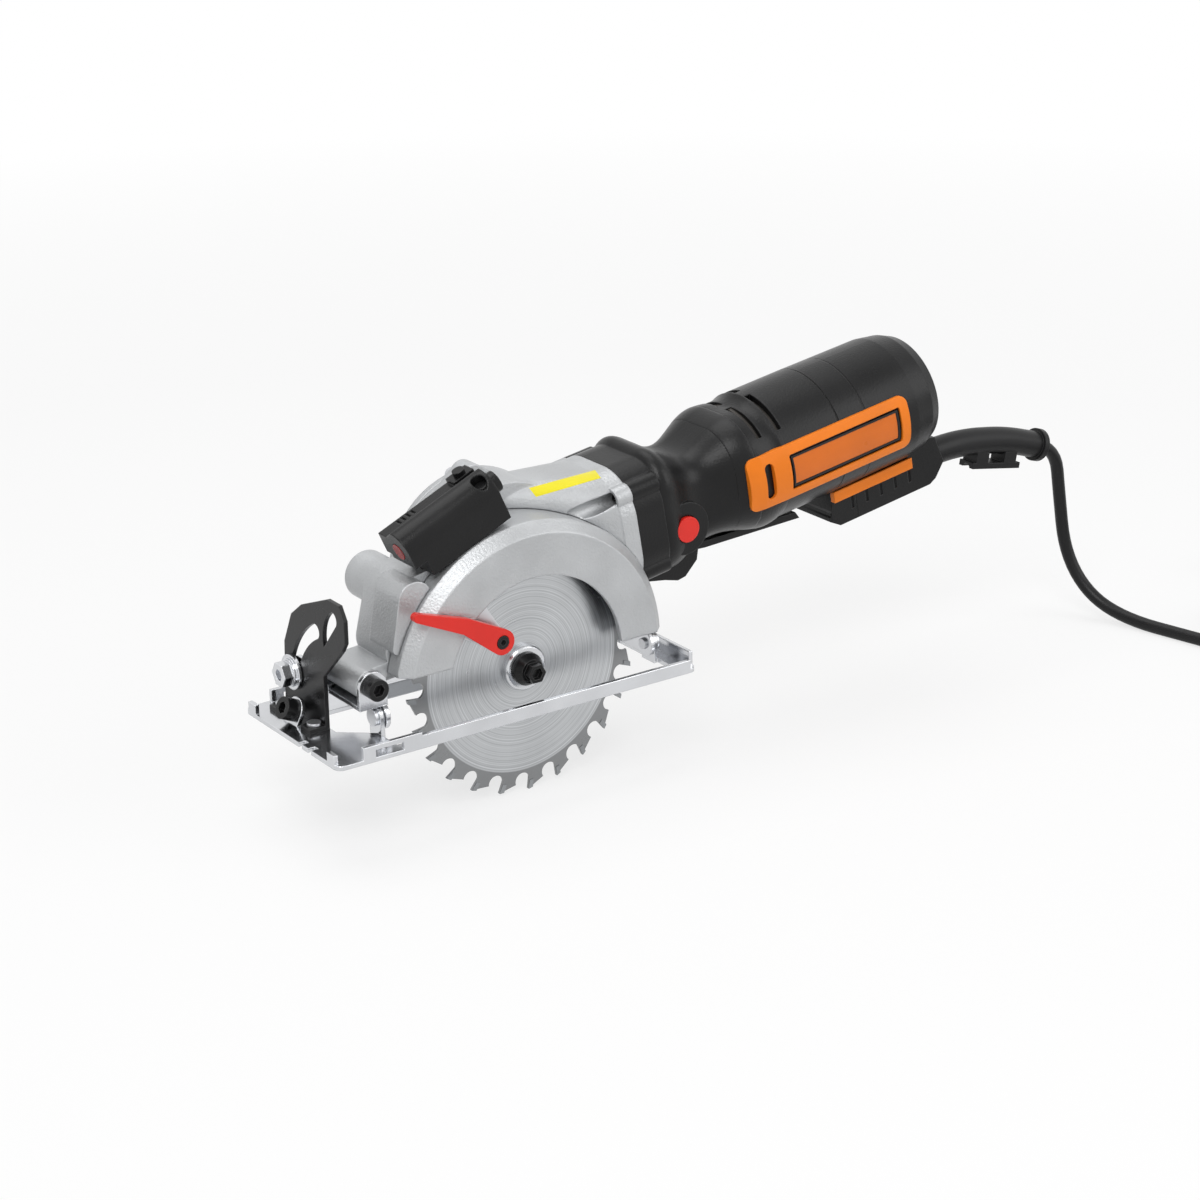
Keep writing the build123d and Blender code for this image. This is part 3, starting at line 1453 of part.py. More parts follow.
def coil_outer_r():
    """Radius of the coil's outermost turn, at its middle line."""
    return coil_inner_r + cord_pitch * coil_turns_per_layer


def make_cord_lead():
    """The free cord between strain relief and coil."""
    return tube(route(cord_points()), cord_dia / 2)


def coil_laps():
    """Turns from the coil's start to its end."""
    return 2 * coil_turns_per_layer


def coil_point(turns):
    """The coil's middle line: spiral in on the floor, climb a layer, spiral out again."""
    beyond = turns - coil_turns_per_layer
    r = coil_inner_r + cord_pitch * abs(beyond)
    climb = min(max((beyond + 0.25) / 0.5, 0), 1)
    smooth = climb * climb * (3 - 2 * climb)
    x, y = polar(r, coil_start_angle + 360 * turns, coil_x, coil_y)
    return Vector(x, y, floor_z + cord_dia / 2 + cord_pitch * smooth)


def coil_points():
    """Points of the middle line at every quarter turn."""
    steps = round(4 * coil_laps())
    return [coil_point(coil_laps() * i / steps) for i in range(steps + 1)]


def coil_headings(points):
    """Heading of the middle line at each of its points."""
    step = 0.0005
    inner = range(1, len(points) - 1)
    laps = [coil_laps() * i / (len(points) - 1) for i in inner]
    middle = [(coil_point(t + step) - coil_point(t - step)).normalized() for t in laps]
    first = Vector(*polar(1, coil_start_angle + 90), 0)
    last = Vector(*polar(1, coil_start_angle + 360 * coil_laps() + 90), 0)
    return [first, *middle, last]


def biarc(p0, t0, p1, t1):
    """Two tangent arcs that leave p0 along t0 and reach p1 along t1."""
    v = p1 - p0
    t = t0 + t1
    a = 2 * (1 - t0.dot(t1))
    b = 2 * v.dot(t)
    c = -v.dot(v)
    d = -c / b if abs(a) < 1e-9 else (-b + math.sqrt(b * b - 4 * a * c)) / (2 * a)
    q0 = p0 + t0 * d
    q1 = p1 - t1 * d
    joint = (q0 + q1) * 0.5
    first = TangentArc(p0, joint, tangent=t0)
    second = TangentArc(joint, p1, tangent=(q1 - q0).normalized())
    return [first, second]


def least_gap(points, skip):
    """Least clear distance between the cord's own turns, on its points."""
    least = 1e9
    for i, here in enumerate(points):
        for there in points[i + skip :]:
            least = min(least, (here - there).length)
    return least - cord_dia


def make_cord_coil():
    """The put-away length: one unbroken tube wound in two layers."""
    points = coil_points()
    headings = coil_headings(points)
    lead = points[0] - headings[0] * cord_dia
    tail = points[-1] + headings[-1] * coil_tail
    edges = [Line(lead, points[0])]
    for i in range(len(points) - 1):
        edges += biarc(points[i], headings[i], points[i + 1], headings[i + 1])
    edges.append(Line(points[-1], tail))
    path = Wire(edges)
    fine = [path @ (i / 1500) for i in range(1501)]
    print("coil length", round(path.length, 1), "least gap", round(least_gap(fine, 60), 2))
    return tube(path, cord_dia / 2)


def make_plug():
    """Two-pin plug lying beside the coil."""
    points = coil_points()
    heading = coil_headings(points)[-1]
    seat = points[-1] + heading * coil_tail
    place = Plane(seat, x_dir=(-heading.Y, heading.X, 0), z_dir=heading).location
    half_thick = seat.Z - floor_z
    back = Plane((0, 0, 0)) * RectangleRounded(13, 13, 6)
    mid = Plane((0, 0, 22)) * RectangleRounded(26, 2 * half_thick - 1, 8)
    front = Plane((0, 0, 42)) * RectangleRounded(34, 2 * half_thick, 8)
    body = loft([back, mid, front], ruled=True)
    solids = [place * body]
    for x in (-9.5, 9.5):
        solids.append(place * Pos(x, 0, 42 + 9.5) * Cylinder(2.4, 19))
    return solids


NODES = {
    "base_plate": make_base_plate,
    "bevel_quadrant": make_quadrant,
    "base_rivets": make_rivets,
    "guide_screw": make_guide_screw,
    "front_clevis": make_clevis,
    "pivot_bolt": make_pivot_bolt,
    "depth_bracket": make_depth_bracket,
    "bevel_screw": make_bevel_screw,
    "upper_guard": make_upper_guard,
    "lower_guard": make_lower_guard,
    "guard_spring": make_guard_spring,
    "guard_lever": make_guard_lever,
    "lever_screw": make_lever_screw,
    "gear_case": make_gear_case,
    "gear_cover": make_gear_cover,
    "case_screws": make_case_screws,
    "flange_screws": make_flange_screws,
    "spindle_lock": make_spindle_lock,
    "blade": make_blade,
    "blade_tips": make_blade_tips,
    "inner_flange": make_inner_flange,
    "outer_flange": make_outer_flange,
    "blade_bolt": make_blade_bolt,
    "spindle": make_spindle,
    "spindle_gear": make_spindle_gear,
    "idler_gear": make_idler_gear,
    "idler_pin": make_idler_pin,
    "layshaft": make_layshaft,
    "bevel_gear": make_bevel_gear,
    "bevel_pinion": make_bevel_pinion,
    "armature_shaft": make_armature_shaft,
    "armature_core": make_armature_core,
    "commutator": make_commutator,
    "cooling_fan": make_cooling_fan,
    "stator": make_stator,
    "motor_bearings": make_motor_bearings,
    "gear_bearings": make_gear_bearings,
    "motor_housing": make_motor_housing,
    "lock_button": make_lock_button,
    "switch_body": make_switch_body,
    "trigger": make_trigger,
    "rear_cover": make_rear_cover,
    "rear_screws": make_rear_screws,
    "brush_holders": make_brush_holders,
    "carbon_brushes": make_carbon_brushes,
    "side_panels": make_side_panels,
    "trim_strips": make_trim_strips,
    "laser_housing": make_laser_housing,
    "laser_lens": make_laser_lens,
    "laser_switch": make_laser_switch,
    "laser_screws": make_laser_screws,
    "depth_bolt": make_depth_bolt,
    "depth_lever": make_depth_lever,
    "strain_relief": make_strain_relief,
    "cord_lead": make_cord_lead,
    "cord_coil": make_cord_coil,
    "plug": make_plug,
}


def main():
    """Builds every piece and writes it under its own name."""
    os.makedirs("parts", exist_ok=True)
    for name, make in NODES.items():
        made = make()
        solids = made if isinstance(made, list) else [made]
        shape = solids[0] if len(solids) == 1 else Compound(children=[s for s in solids])
        shape.label = name
        export_step(shape, f"parts/{name}.step")


if __name__ == "__main__":
    main()
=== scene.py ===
# %% [markdown]
# # A compact circular saw, dressed in Blender
#
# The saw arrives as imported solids, with real sizes and joints. This lesson gives them their looks: a
# camera at the photograph's angle, soft light, procedural finishes, the flexible cord and a few thin
# fittings. Lengths are in metres, in the frame of the solids. The origin is on the sole's underside
# below the spindle, X runs from the nose to the motor, Y away from the blade and Z up. Small sizes are
# written in millimetres and multiplied by MM where they are used.

# %% Load the solids
import json
import math

import bmesh
import bpy
from mathutils import Matrix, Vector
from mathutils.bvhtree import BVHTree


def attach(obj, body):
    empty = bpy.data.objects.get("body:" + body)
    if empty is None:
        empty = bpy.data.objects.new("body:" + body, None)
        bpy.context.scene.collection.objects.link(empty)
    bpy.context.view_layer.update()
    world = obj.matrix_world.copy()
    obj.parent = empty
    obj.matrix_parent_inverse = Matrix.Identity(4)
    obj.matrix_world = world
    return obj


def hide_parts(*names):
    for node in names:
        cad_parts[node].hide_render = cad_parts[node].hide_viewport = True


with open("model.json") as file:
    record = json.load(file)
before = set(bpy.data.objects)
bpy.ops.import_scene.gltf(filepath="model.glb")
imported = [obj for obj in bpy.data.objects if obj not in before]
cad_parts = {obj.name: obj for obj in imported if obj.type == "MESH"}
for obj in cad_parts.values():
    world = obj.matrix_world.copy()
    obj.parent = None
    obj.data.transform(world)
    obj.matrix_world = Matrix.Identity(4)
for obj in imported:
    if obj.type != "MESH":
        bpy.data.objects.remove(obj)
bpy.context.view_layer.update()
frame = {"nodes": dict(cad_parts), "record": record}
nodes = frame["nodes"]
scene = bpy.context.scene
MM = 0.001

# %% [markdown]
# ## Camera
#
# A product picture is taken from a little above, with a long lens that keeps the shapes true. The view
# could be set by eye. It was fitted instead to things of known form: the blade's round rim, its evenly
# spaced teeth and the sole's straight edges. The result is an azimuth, an elevation, a slight roll, a
# place and a lens length in pixels of a 1200 pixel frame, which the sensor's width turns into millimetres.

# %% Aim the camera
AZIMUTH = math.radians(34.8)
ELEVATION = math.radians(20.7)
ROLL = math.radians(-0.79)
CAMERA_AT = Vector((-0.6328, -0.9718, 0.4827))
LENS_PIXELS = 2818.0
FRAME_PIXELS = 1200.0
SENSOR = 36.0
FAR_CLIP = 20.0


def camera_basis():
    """Right, up and backward directions of the camera, as the columns of a matrix."""
    level = math.cos(ELEVATION)
    forward = Vector((math.sin(AZIMUTH) * level, math.cos(AZIMUTH) * level, -math.sin(ELEVATION)))
    right = Vector((math.cos(AZIMUTH), -math.sin(AZIMUTH), 0.0))
    up = right.cross(forward)
    return Matrix((right, up, -forward)).transposed() @ Matrix.Rotation(ROLL, 3, "Z")


def add_camera():
    """The camera at the photograph's place."""
    data = bpy.data.cameras.new("camera")
    data.sensor_width = SENSOR
    data.lens = SENSOR * LENS_PIXELS / FRAME_PIXELS
    data.clip_end = FAR_CLIP
    camera = bpy.data.objects.new("camera", data)
    camera.matrix_world = Matrix.Translation(CAMERA_AT) @ camera_basis().to_4x4()
    scene.collection.objects.link(camera)
    scene.camera = camera
    return camera


camera = add_camera()
print(f"camera: {camera.data.lens:.1f} mm lens, {CAMERA_AT.length:.2f} m from the origin")

# %% [markdown]
# ## Node helpers
#
# Finishes are trees of nodes. Each node could be made and linked in three lines, but a tree is easier
# to read when one line is one step of arithmetic. These helpers take numbers or sockets and give back
# the socket that holds the result.

# %% Write shader arithmetic as short lines


def feed(tree, slots, values):
    """Each value goes into its socket, as a link or as a constant."""
    for slot, value in zip(slots, values):
        if isinstance(value, bpy.types.NodeSocket):
            tree.links.new(value, slot)
        elif value is not None:
            slot.default_value = value


def calc(tree, operation, first, second=None):
    """One arithmetic step on numbers or sockets."""
    node = tree.nodes.new("ShaderNodeMath")
    node.operation = operation
    feed(tree, node.inputs, (first, second))
    return node.outputs[0]


def vector_calc(tree, operation, first, second=None, output="Vector"):
    """One step on vectors or sockets."""
    node = tree.nodes.new("ShaderNodeVectorMath")
    node.operation = operation
    feed(tree, node.inputs, (first, second))
    return node.outputs[output]


def remap(tree, source, low, high, to_low, to_high):
    """A number taken from one range to another, held at both ends."""
    node = tree.nodes.new("ShaderNodeMapRange")
    labels = ("Value", "From Min", "From Max", "To Min", "To Max")
    feed(tree, [node.inputs[label] for label in labels], (source, low, high, to_low, to_high))
    return node.outputs["Result"]


print("helpers: feed, calc, vector_calc, remap")

# %% [markdown]
# ## White surroundings
#
# The saw stands in a white studio. More light would also turn the background white, but it would bleach
# the saw. So the world lights the saw as a plain grey, and Light Path makes it white only for the rays
# that show it: those to the camera, those in a reflection and those through something clear.

# %% Make the world
WORLD_LIGHT = 0.36
WORLD_SEEN = 1.0


def background_rays(tree):
    """One for a ray to the camera, in a reflection or through something clear, and zero for the rest."""
    path = tree.nodes.new("ShaderNodeLightPath")
    rays = path.outputs["Is Camera Ray"]
    for label in ("Is Glossy Ray", "Is Transmission Ray"):
        rays = calc(tree, "MAXIMUM", rays, path.outputs[label])
    return rays


def add_world():
    """A grey world for light, white where it is seen."""
    world = bpy.data.worlds.new("studio")
    scene.world = world
    world.use_nodes = True
    tree = world.node_tree
    tree.nodes.clear()
    backs = []
    for strength in (WORLD_LIGHT, WORLD_SEEN):
        back = tree.nodes.new("ShaderNodeBackground")
        back.inputs["Color"].default_value = (1.0, 1.0, 1.0, 1.0)
        back.inputs["Strength"].default_value = strength
        backs.append(back.outputs[0])
    mix = tree.nodes.new("ShaderNodeMixShader")
    feed(tree, mix.inputs, (background_rays(tree), *backs))
    out = tree.nodes.new("ShaderNodeOutputWorld")
    tree.links.new(mix.outputs[0], out.inputs["Surface"])


add_world()
print(f"world: {WORLD_LIGHT} as light, {WORLD_SEEN} as background")

# %% [markdown]
# ## Floor
#
# The saw stands with its blade below the sole, so the floor lies at the height of the lowest teeth. A
# floor that only catches shadows would need a compositor. This one is a plain matt sheet, mixed with
# white for the same rays as the world. Near the saw enough of the matt sheet is left to carry the soft
# shadow, and further out the sheet fades into the white, so that no view shows its edge.

# %% Lay the floor
FLOOR_Z = -46.0 * MM
FLOOR_REACH = 6.0
FLOOR_COLOUR = (0.90, 0.90, 0.90, 1.0)
FLOOR_ROUGHNESS = 0.9
FLOOR_WHITE = 0.72
FLOOR_FADE = (0.7, 1.5)


def floor_finish():
    """Matt white that keeps a soft shadow near the saw and turns as white as the world further out."""
    material = bpy.data.materials.new("floor")
    material.use_nodes = True
    tree = material.node_tree
    matt = tree.nodes["Principled BSDF"]
    matt.inputs["Base Color"].default_value = FLOOR_COLOUR
    matt.inputs["Roughness"].default_value = FLOOR_ROUGHNESS
    place = tree.nodes.new("ShaderNodeTexCoord").outputs["Object"]
    distance = vector_calc(tree, "LENGTH", place, None, "Value")
    fade = remap(tree, distance, *FLOOR_FADE, FLOOR_WHITE, 1.0)
    share = calc(tree, "MULTIPLY", background_rays(tree), fade)
    white = tree.nodes.new("ShaderNodeEmission")
    mix = tree.nodes.new("ShaderNodeMixShader")
    feed(tree, mix.inputs, (share, matt.outputs[0], white.outputs[0]))
    tree.links.new(mix.outputs[0], tree.nodes["Material Output"].inputs["Surface"])
    return material


def add_floor():
    """A plain pale floor under the blade's lowest teeth."""
    mesh = bpy.data.meshes.new("floor")
    signs = ((-1, -1), (1, -1), (1, 1), (-1, 1))
    corners = [(x * FLOOR_REACH, y * FLOOR_REACH, FLOOR_Z) for x, y in signs]
    mesh.from_pydata(corners, [], [(0, 1, 2, 3)])
    floor = bpy.data.objects.new("floor", mesh)
    scene.collection.objects.link(floor)
    mesh.materials.append(floor_finish())


add_floor()
print(f"floor: {2 * FLOOR_REACH:.0f} m wide, {-FLOOR_Z / MM:.0f} mm under the sole")

# %% [markdown]
# ## Lamps
#
# Black plastic and cast metal show their form by soft highlights, and a small lamp would give hard
# spots. Three large square area lamps stand for the soft boxes of a studio: the key from the front left,
# a weaker fill from the right and one overhead. Each is turned by a quaternion that tracks the saw.

# %% Hang three soft lamps
LAMP_AIM = Vector((0.08, 0.0, 0.05))
LAMPS = {
    "key": {"place": (-0.9, -1.1, 1.7), "size": 1.1, "power": 21.0},
    "fill": {"place": (1.3, -1.2, 0.9), "size": 1.2, "power": 9.0},
    "top": {"place": (0.1, 0.5, 1.9), "size": 1.4, "power": 13.0},
}


def add_lamp(name, place, size, power):
    """A square soft lamp that looks at the saw."""
    data = bpy.data.lights.new(name, "AREA")
    data.size = size
    data.energy = power
    lamp = bpy.data.objects.new(name, data)
    lamp.rotation_mode = "QUATERNION"
    lamp.rotation_quaternion = (LAMP_AIM - Vector(place)).to_track_quat("-Z", "Y")
    lamp.location = place
    scene.collection.objects.link(lamp)


for lamp_name, lamp in LAMPS.items():
    add_lamp(lamp_name, **lamp)
    print(f"{lamp_name} lamp: {lamp['power']:.0f} W over {lamp['size']} m")

# %% [markdown]
# ## Grain, rounded edges, wear and painted edge highlights
#
# No real surface is perfectly even, and no moulded or cast edge is perfectly sharp. Both could be
# modelled, at a great cost in faces. A shader group does it for every finish at once: fine noise bumps
# the surface, a Bevel node rounds the edges in the shading, a slow noise changes the tone, and edges
# where the rounded normal turns away from the true one are painted paler, partly as wear and partly as
# a painted highlight where edges catch the light. Each material sets its own values.

# %% Build the grain group
GRAIN_DETAIL = 3.0
GRAIN_HEIGHT = 0.0003
TONE_SCALE = 38.0
TONE_DETAIL = 5.0
EDGE_SAMPLES = 6
WEAR_AND_HIGHLIGHT_TURN = (1.0, 0.82)
PATCHY_TONE = (0.35, 0.6)
PATCHY_WEAR_AND_HIGHLIGHT = (0.4, 1.0)


def new_group(name, inputs, outputs):
    """An empty shader group with number inputs and typed outputs."""
    tree = bpy.data.node_groups.new(name, "ShaderNodeTree")
    for label, value in inputs:
        socket = tree.interface.new_socket(label, in_out="INPUT", socket_type="NodeSocketFloat")
        socket.default_value = value
    for label, kind in outputs:
        tree.interface.new_socket(label, in_out="OUTPUT", socket_type="NodeSocket" + kind)
    return tree, tree.nodes.new("NodeGroupInput"), tree.nodes.new("NodeGroupOutput")


def noise(tree, place, scale, detail):
    """Noise in object coordinates, between zero and one."""
    node = tree.nodes.new("ShaderNodeTexNoise")
    labels = ("Vector", "Scale", "Detail")
    feed(tree, [node.inputs[label] for label in labels], (place, scale, detail))
    return node.outputs["Fac"]


def group_grain():
    """Rounded edges, fine bump, a slow change of tone, and an edge mask for wear and a painted highlight."""
    tree, into, out = new_group(
        "grain",
        (("Scale", 1500.0), ("Depth", 0.1), ("Edge", 0.0006)),
        (("Normal", "Vector"), ("Tone", "Float"), ("Wear and Painted Highlight", "Float")),
    )
    place = tree.nodes.new("ShaderNodeTexCoord").outputs["Object"]
    fine = noise(tree, place, into.outputs["Scale"], GRAIN_DETAIL)
    tone = noise(tree, place, TONE_SCALE, TONE_DETAIL)
    edge = tree.nodes.new("ShaderNodeBevel")
    edge.samples = EDGE_SAMPLES
    tree.links.new(into.outputs["Edge"], edge.inputs["Radius"])
    bump = tree.nodes.new("ShaderNodeBump")
    labels = ("Strength", "Distance", "Height", "Normal")
    values = (into.outputs["Depth"], GRAIN_HEIGHT, fine, edge.outputs["Normal"])
    feed(tree, [bump.inputs[label] for label in labels], values)
    true_normal = tree.nodes.new("ShaderNodeNewGeometry").outputs["Normal"]
    turned = vector_calc(tree, "DOT_PRODUCT", edge.outputs["Normal"], true_normal, "Value")
    # Edges that turn away are painted paler: partly wear, partly a painted highlight where they catch the
    # light.
    edge_wear_and_highlight = remap(tree, turned, *WEAR_AND_HIGHLIGHT_TURN, 0.0, 1.0)
    patchy = remap(tree, tone, *PATCHY_TONE, *PATCHY_WEAR_AND_HIGHLIGHT)
    wear_and_highlight = calc(tree, "MULTIPLY", edge_wear_and_highlight, patchy)
    feed(tree, out.inputs, (bump.outputs["Normal"], tone, wear_and_highlight))
    return tree


GRAIN = group_grain()
print(f"grain group: {len(GRAIN.nodes)} nodes")

# %% [markdown]
# ## Plain finishes
#
# Most pieces have one finish all over: chromed and plain steel, the cast gear case, black, orange and
# red plastic, rubber and the metals inside the motor. Each could have a tree of its own, but they differ
# only in numbers. So one function builds the tree round the grain group. It takes the colour, the
# roughness, how far it is metal, the grain, the edge radius in metres and how much the tone varies.

# %% Define a surface
METAL_GLOSS = 0.5
PLASTIC_GLOSS = 0.24
TONE_FOR_COLOUR = (0.35, 0.65)
TONE_FOR_ROUGHNESS = (0.3, 0.7)
ROUGHNESS_SWING = 0.12
WEAR_AND_HIGHLIGHT_GAIN = 1.25
WEAR_AND_HIGHLIGHT_LIFT = 0.01


def mixed(tree, factor, low, high, blend="MIX"):
    """A colour between two colours, each given as numbers or as a socket."""
    node = tree.nodes.new("ShaderNodeMix")
    node.data_type = "RGBA"
    node.blend_type = blend
    sockets = [node.inputs["Factor"]] + [s for s in node.inputs if s.type == "RGBA"]
    colours = [c if isinstance(c, bpy.types.NodeSocket) else (*c, 1.0) for c in (low, high)]
    feed(tree, sockets, (factor, *colours))
    return next(s for s in node.outputs if s.type == "RGBA")


def surface(
    name, colour, roughness, metallic=0.0, scale=1500.0, depth=0.1, edge=0.0006, vary=0.12,
    edge_wear_and_highlight=None, coat=0.0,
):
    """A material with grain, rounded edges painted paler for wear and as a painted highlight, and a slow
    change of tone.
    """
    material = bpy.data.materials.new(name)
    material.use_nodes = True
    tree = material.node_tree
    shader = tree.nodes["Principled BSDF"]
    grain = tree.nodes.new("ShaderNodeGroup")
    grain.node_tree = GRAIN
    feed(tree, grain.inputs, (scale, depth, edge))
    tone = remap(tree, grain.outputs["Tone"], *TONE_FOR_COLOUR, 0.0, 1.0)
    darker = [c * (1 - vary) for c in colour]
    paler = [min(c * (1 + vary), 1.0) for c in colour]
    # The paler edge colour is partly wear and partly a painted highlight along the edges.
    rubbed_and_lit = edge_wear_and_highlight or [min(c * WEAR_AND_HIGHLIGHT_GAIN + WEAR_AND_HIGHLIGHT_LIFT, 1.0) for c in colour]
    base = mixed(tree, grain.outputs["Wear and Painted Highlight"], mixed(tree, tone, darker, paler), rubbed_and_lit)
    smooth = roughness * (1 - ROUGHNESS_SWING)
    rough = min(roughness * (1 + ROUGHNESS_SWING), 1.0)
    gloss = remap(tree, grain.outputs["Tone"], *TONE_FOR_ROUGHNESS, smooth, rough)
    tree.links.new(base, shader.inputs["Base Color"])
    tree.links.new(gloss, shader.inputs["Roughness"])
    tree.links.new(grain.outputs["Normal"], shader.inputs["Normal"])
    shader.inputs["Metallic"].default_value = metallic
    shader.inputs["Specular IOR Level"].default_value = METAL_GLOSS if metallic else PLASTIC_GLOSS
    shader.inputs["Coat Weight"].default_value = coat
    return material


print("surface: one tree for every plain finish")

# %% [markdown]
# ## The saw's own finishes
#
# Each row is one kind of stuff on the saw. The values could be typed into each material, but a table
# shows how the finishes differ: chrome is smooth and even, the casting has a deep coarse grain, and black
# plastic is painted paler along its edges, partly as wear and partly as a painted highlight. What a row
# leaves out keeps the value that surface() gives.

# %% Fill in the finishes of the saw
FINISHES = {
    "chromed_steel": dict(
        colour=(0.62, 0.63, 0.65), roughness=0.18, metallic=1.0, scale=500.0, depth=0.02,
        edge=0.0007, vary=0.06,
    ),
    "plain_steel": dict(colour=(0.58, 0.59, 0.61), roughness=0.34, metallic=1.0, scale=900.0, depth=0.04),
    "carbide": dict(colour=(0.30, 0.31, 0.32), roughness=0.42, metallic=1.0, depth=0.06, edge=0.0001),
    "hard_steel": dict(colour=(0.45, 0.46, 0.48), roughness=0.36, metallic=1.0),
    "black_steel": dict(
        colour=(0.008, 0.008, 0.0085), roughness=0.28, scale=1600.0, vary=0.15, edge_wear_and_highlight=(0.07, 0.07, 0.07)
    ),
    "die_cast": dict(
        colour=(0.46, 0.47, 0.48), roughness=0.40, metallic=0.6, scale=900.0, depth=0.85,
        edge=0.0012, vary=0.07,
    ),
    "black_nylon": dict(
        colour=(0.006, 0.006, 0.0063), roughness=0.28, scale=1300.0, depth=0.22, edge=0.0010, vary=0.2,
        edge_wear_and_highlight=(0.03, 0.03, 0.031),
    ),
    "orange_nylon": dict(colour=(0.82, 0.20, 0.010), roughness=0.40, depth=0.08, edge=0.0008, vary=0.05),
    "red_nylon": dict(
        colour=(0.70, 0.020, 0.012), roughness=0.34, depth=0.06, edge=0.0008, vary=0.06, coat=0.2
    ),
    "lamination": dict(colour=(0.05, 0.045, 0.04), roughness=0.55, metallic=0.2),
    "copper": dict(colour=(0.70, 0.38, 0.22), roughness=0.35, metallic=1.0),
    "carbon": dict(colour=(0.03, 0.03, 0.03), roughness=0.6),
    "clear_plastic": dict(colour=(0.35, 0.03, 0.03), roughness=0.12, scale=500.0, depth=0.01),
    "rubber": dict(
        colour=(0.008, 0.008, 0.0085), roughness=0.42, scale=1300.0, depth=0.12, edge=0.0008, vary=0.15,
        edge_wear_and_highlight=(0.025, 0.025, 0.026),
    ),
}
MATERIALS = {slot: surface(slot, **finish) for slot, finish in FINISHES.items()}
print(f"finishes: {', '.join(MATERIALS)}")

# %% [markdown]
# ## Turned blade
#
# A saw blade is ground while it turns, which leaves fine rings and a highlight that stretches across
# them like a fan. A picture of brushed metal would have to be wrapped round the disc. Here the distance
# from the spindle drives a noise along one line, so the rings are true circles, and the tangent given to
# the shader follows them, which stretches the highlight. The toothed rim stays dark beyond a set radius.

# %% Finish the blade
SPINDLE_AT = Vector((0.0, 0.0, 14.0)) * MM
RING_SCALE = 1500.0
RING_DETAIL = 8.0
RING_DARK = (0.48, 0.49, 0.50)
RING_PALE = (0.92, 0.93, 0.94)
RING_SHARE = 0.7
RING_RANGE = (0.3, 0.7)
RIM_RADIUS = (0.0496, 0.0500)
RIM_COLOUR = (0.26, 0.265, 0.27)
HIGHLIGHT_STRETCH = 0.65


def blade_finish(name):
    """Turned steel: rings round the spindle, a stretched highlight and a darker rim."""
    material = surface(name, (0.62, 0.63, 0.64), 0.30, 1.0, scale=1400.0, depth=0.03, edge=0.0002, vary=0.05)
    tree = material.node_tree
    shader = tree.nodes["Principled BSDF"]
    place = tree.nodes.new("ShaderNodeTexCoord").outputs["Object"]
    from_spindle = vector_calc(tree, "SUBTRACT", place, SPINDLE_AT)
    arm = vector_calc(tree, "MULTIPLY", from_spindle, (1.0, 0.0, 1.0))
    radius = vector_calc(tree, "LENGTH", arm, None, "Value")
    rings = tree.nodes.new("ShaderNodeTexNoise")
    rings.noise_dimensions = "1D"
    feed(tree, [rings.inputs[label] for label in ("W", "Scale", "Detail")], (radius, RING_SCALE, RING_DETAIL))
    lines = remap(tree, rings.outputs["Fac"], *RING_RANGE, 0.0, 1.0)
    plain = shader.inputs["Base Color"].links[0].from_socket
    ringed = mixed(tree, RING_SHARE, plain, mixed(tree, lines, RING_DARK, RING_PALE), "MULTIPLY")
    rim = remap(tree, radius, *RIM_RADIUS, 0.0, 1.0)
    tree.links.new(mixed(tree, rim, ringed, RIM_COLOUR), shader.inputs["Base Color"])
    turn = tree.nodes.new("ShaderNodeVectorTransform")
    turn.vector_type = "VECTOR"
    turn.convert_from = "OBJECT"
    turn.convert_to = "WORLD"
    tree.links.new(vector_calc(tree, "CROSS_PRODUCT", (0.0, 1.0, 0.0), arm), turn.inputs[0])
    tree.links.new(turn.outputs[0], shader.inputs["Tangent"])
    shader.inputs["Anisotropic"].default_value = HIGHLIGHT_STRETCH
    return material


MATERIALS["blade_steel"] = blade_finish("blade_steel")
print(f"blade: rings to a radius of {RIM_RADIUS[0] / MM:.1f} mm, a plain rim beyond")

# %% [markdown]
# ## Housing plastic and its seams
#
# The motor's barrel has two fine seams round it, as moulded covers do. They could be cut into the solid,
# but they are only about a millimetre wide. A second shader group makes one line at a set distance along
# the motor's axis. The housing places it once for each seam, and the mask both darkens the colour and
# sinks the surface. The axis is tilted, so the distance comes from a dot product with its direction.

# %% Finish the motor housing
MOTOR_AT = Vector((60.0, 22.0, 64.0)) * MM
MOTOR_TILT = math.radians(9.5)
MOTOR_AXIS = Vector((math.cos(MOTOR_TILT), 0.0, math.sin(MOTOR_TILT)))
SEAM_WIDTH = 0.0005
SEAM_CORE = 0.4
SEAMS_AT = (0.1180, 0.1340)
SEAM_DEPTH = 0.0008
SEAM_STRENGTH = 0.8
SEAM_COLOUR = (0.004, 0.004, 0.004)


def group_seam():
    """A narrow line round the motor's axis, at a distance from the housing's flange."""
    tree, into, out = new_group("seam", (("At", SEAMS_AT[0]), ("Width", SEAM_WIDTH)), (("Mask", "Float"),))
    place = tree.nodes.new("ShaderNodeTexCoord").outputs["Object"]
    from_flange = vector_calc(tree, "SUBTRACT", place, MOTOR_AT)
    along = vector_calc(tree, "DOT_PRODUCT", from_flange, MOTOR_AXIS, "Value")
    off = calc(tree, "ABSOLUTE", calc(tree, "SUBTRACT", along, into.outputs["At"]))
    share = calc(tree, "DIVIDE", off, into.outputs["Width"])
    tree.links.new(remap(tree, share, SEAM_CORE, 1.0, 1.0, 0.0), out.inputs["Mask"])
    return tree


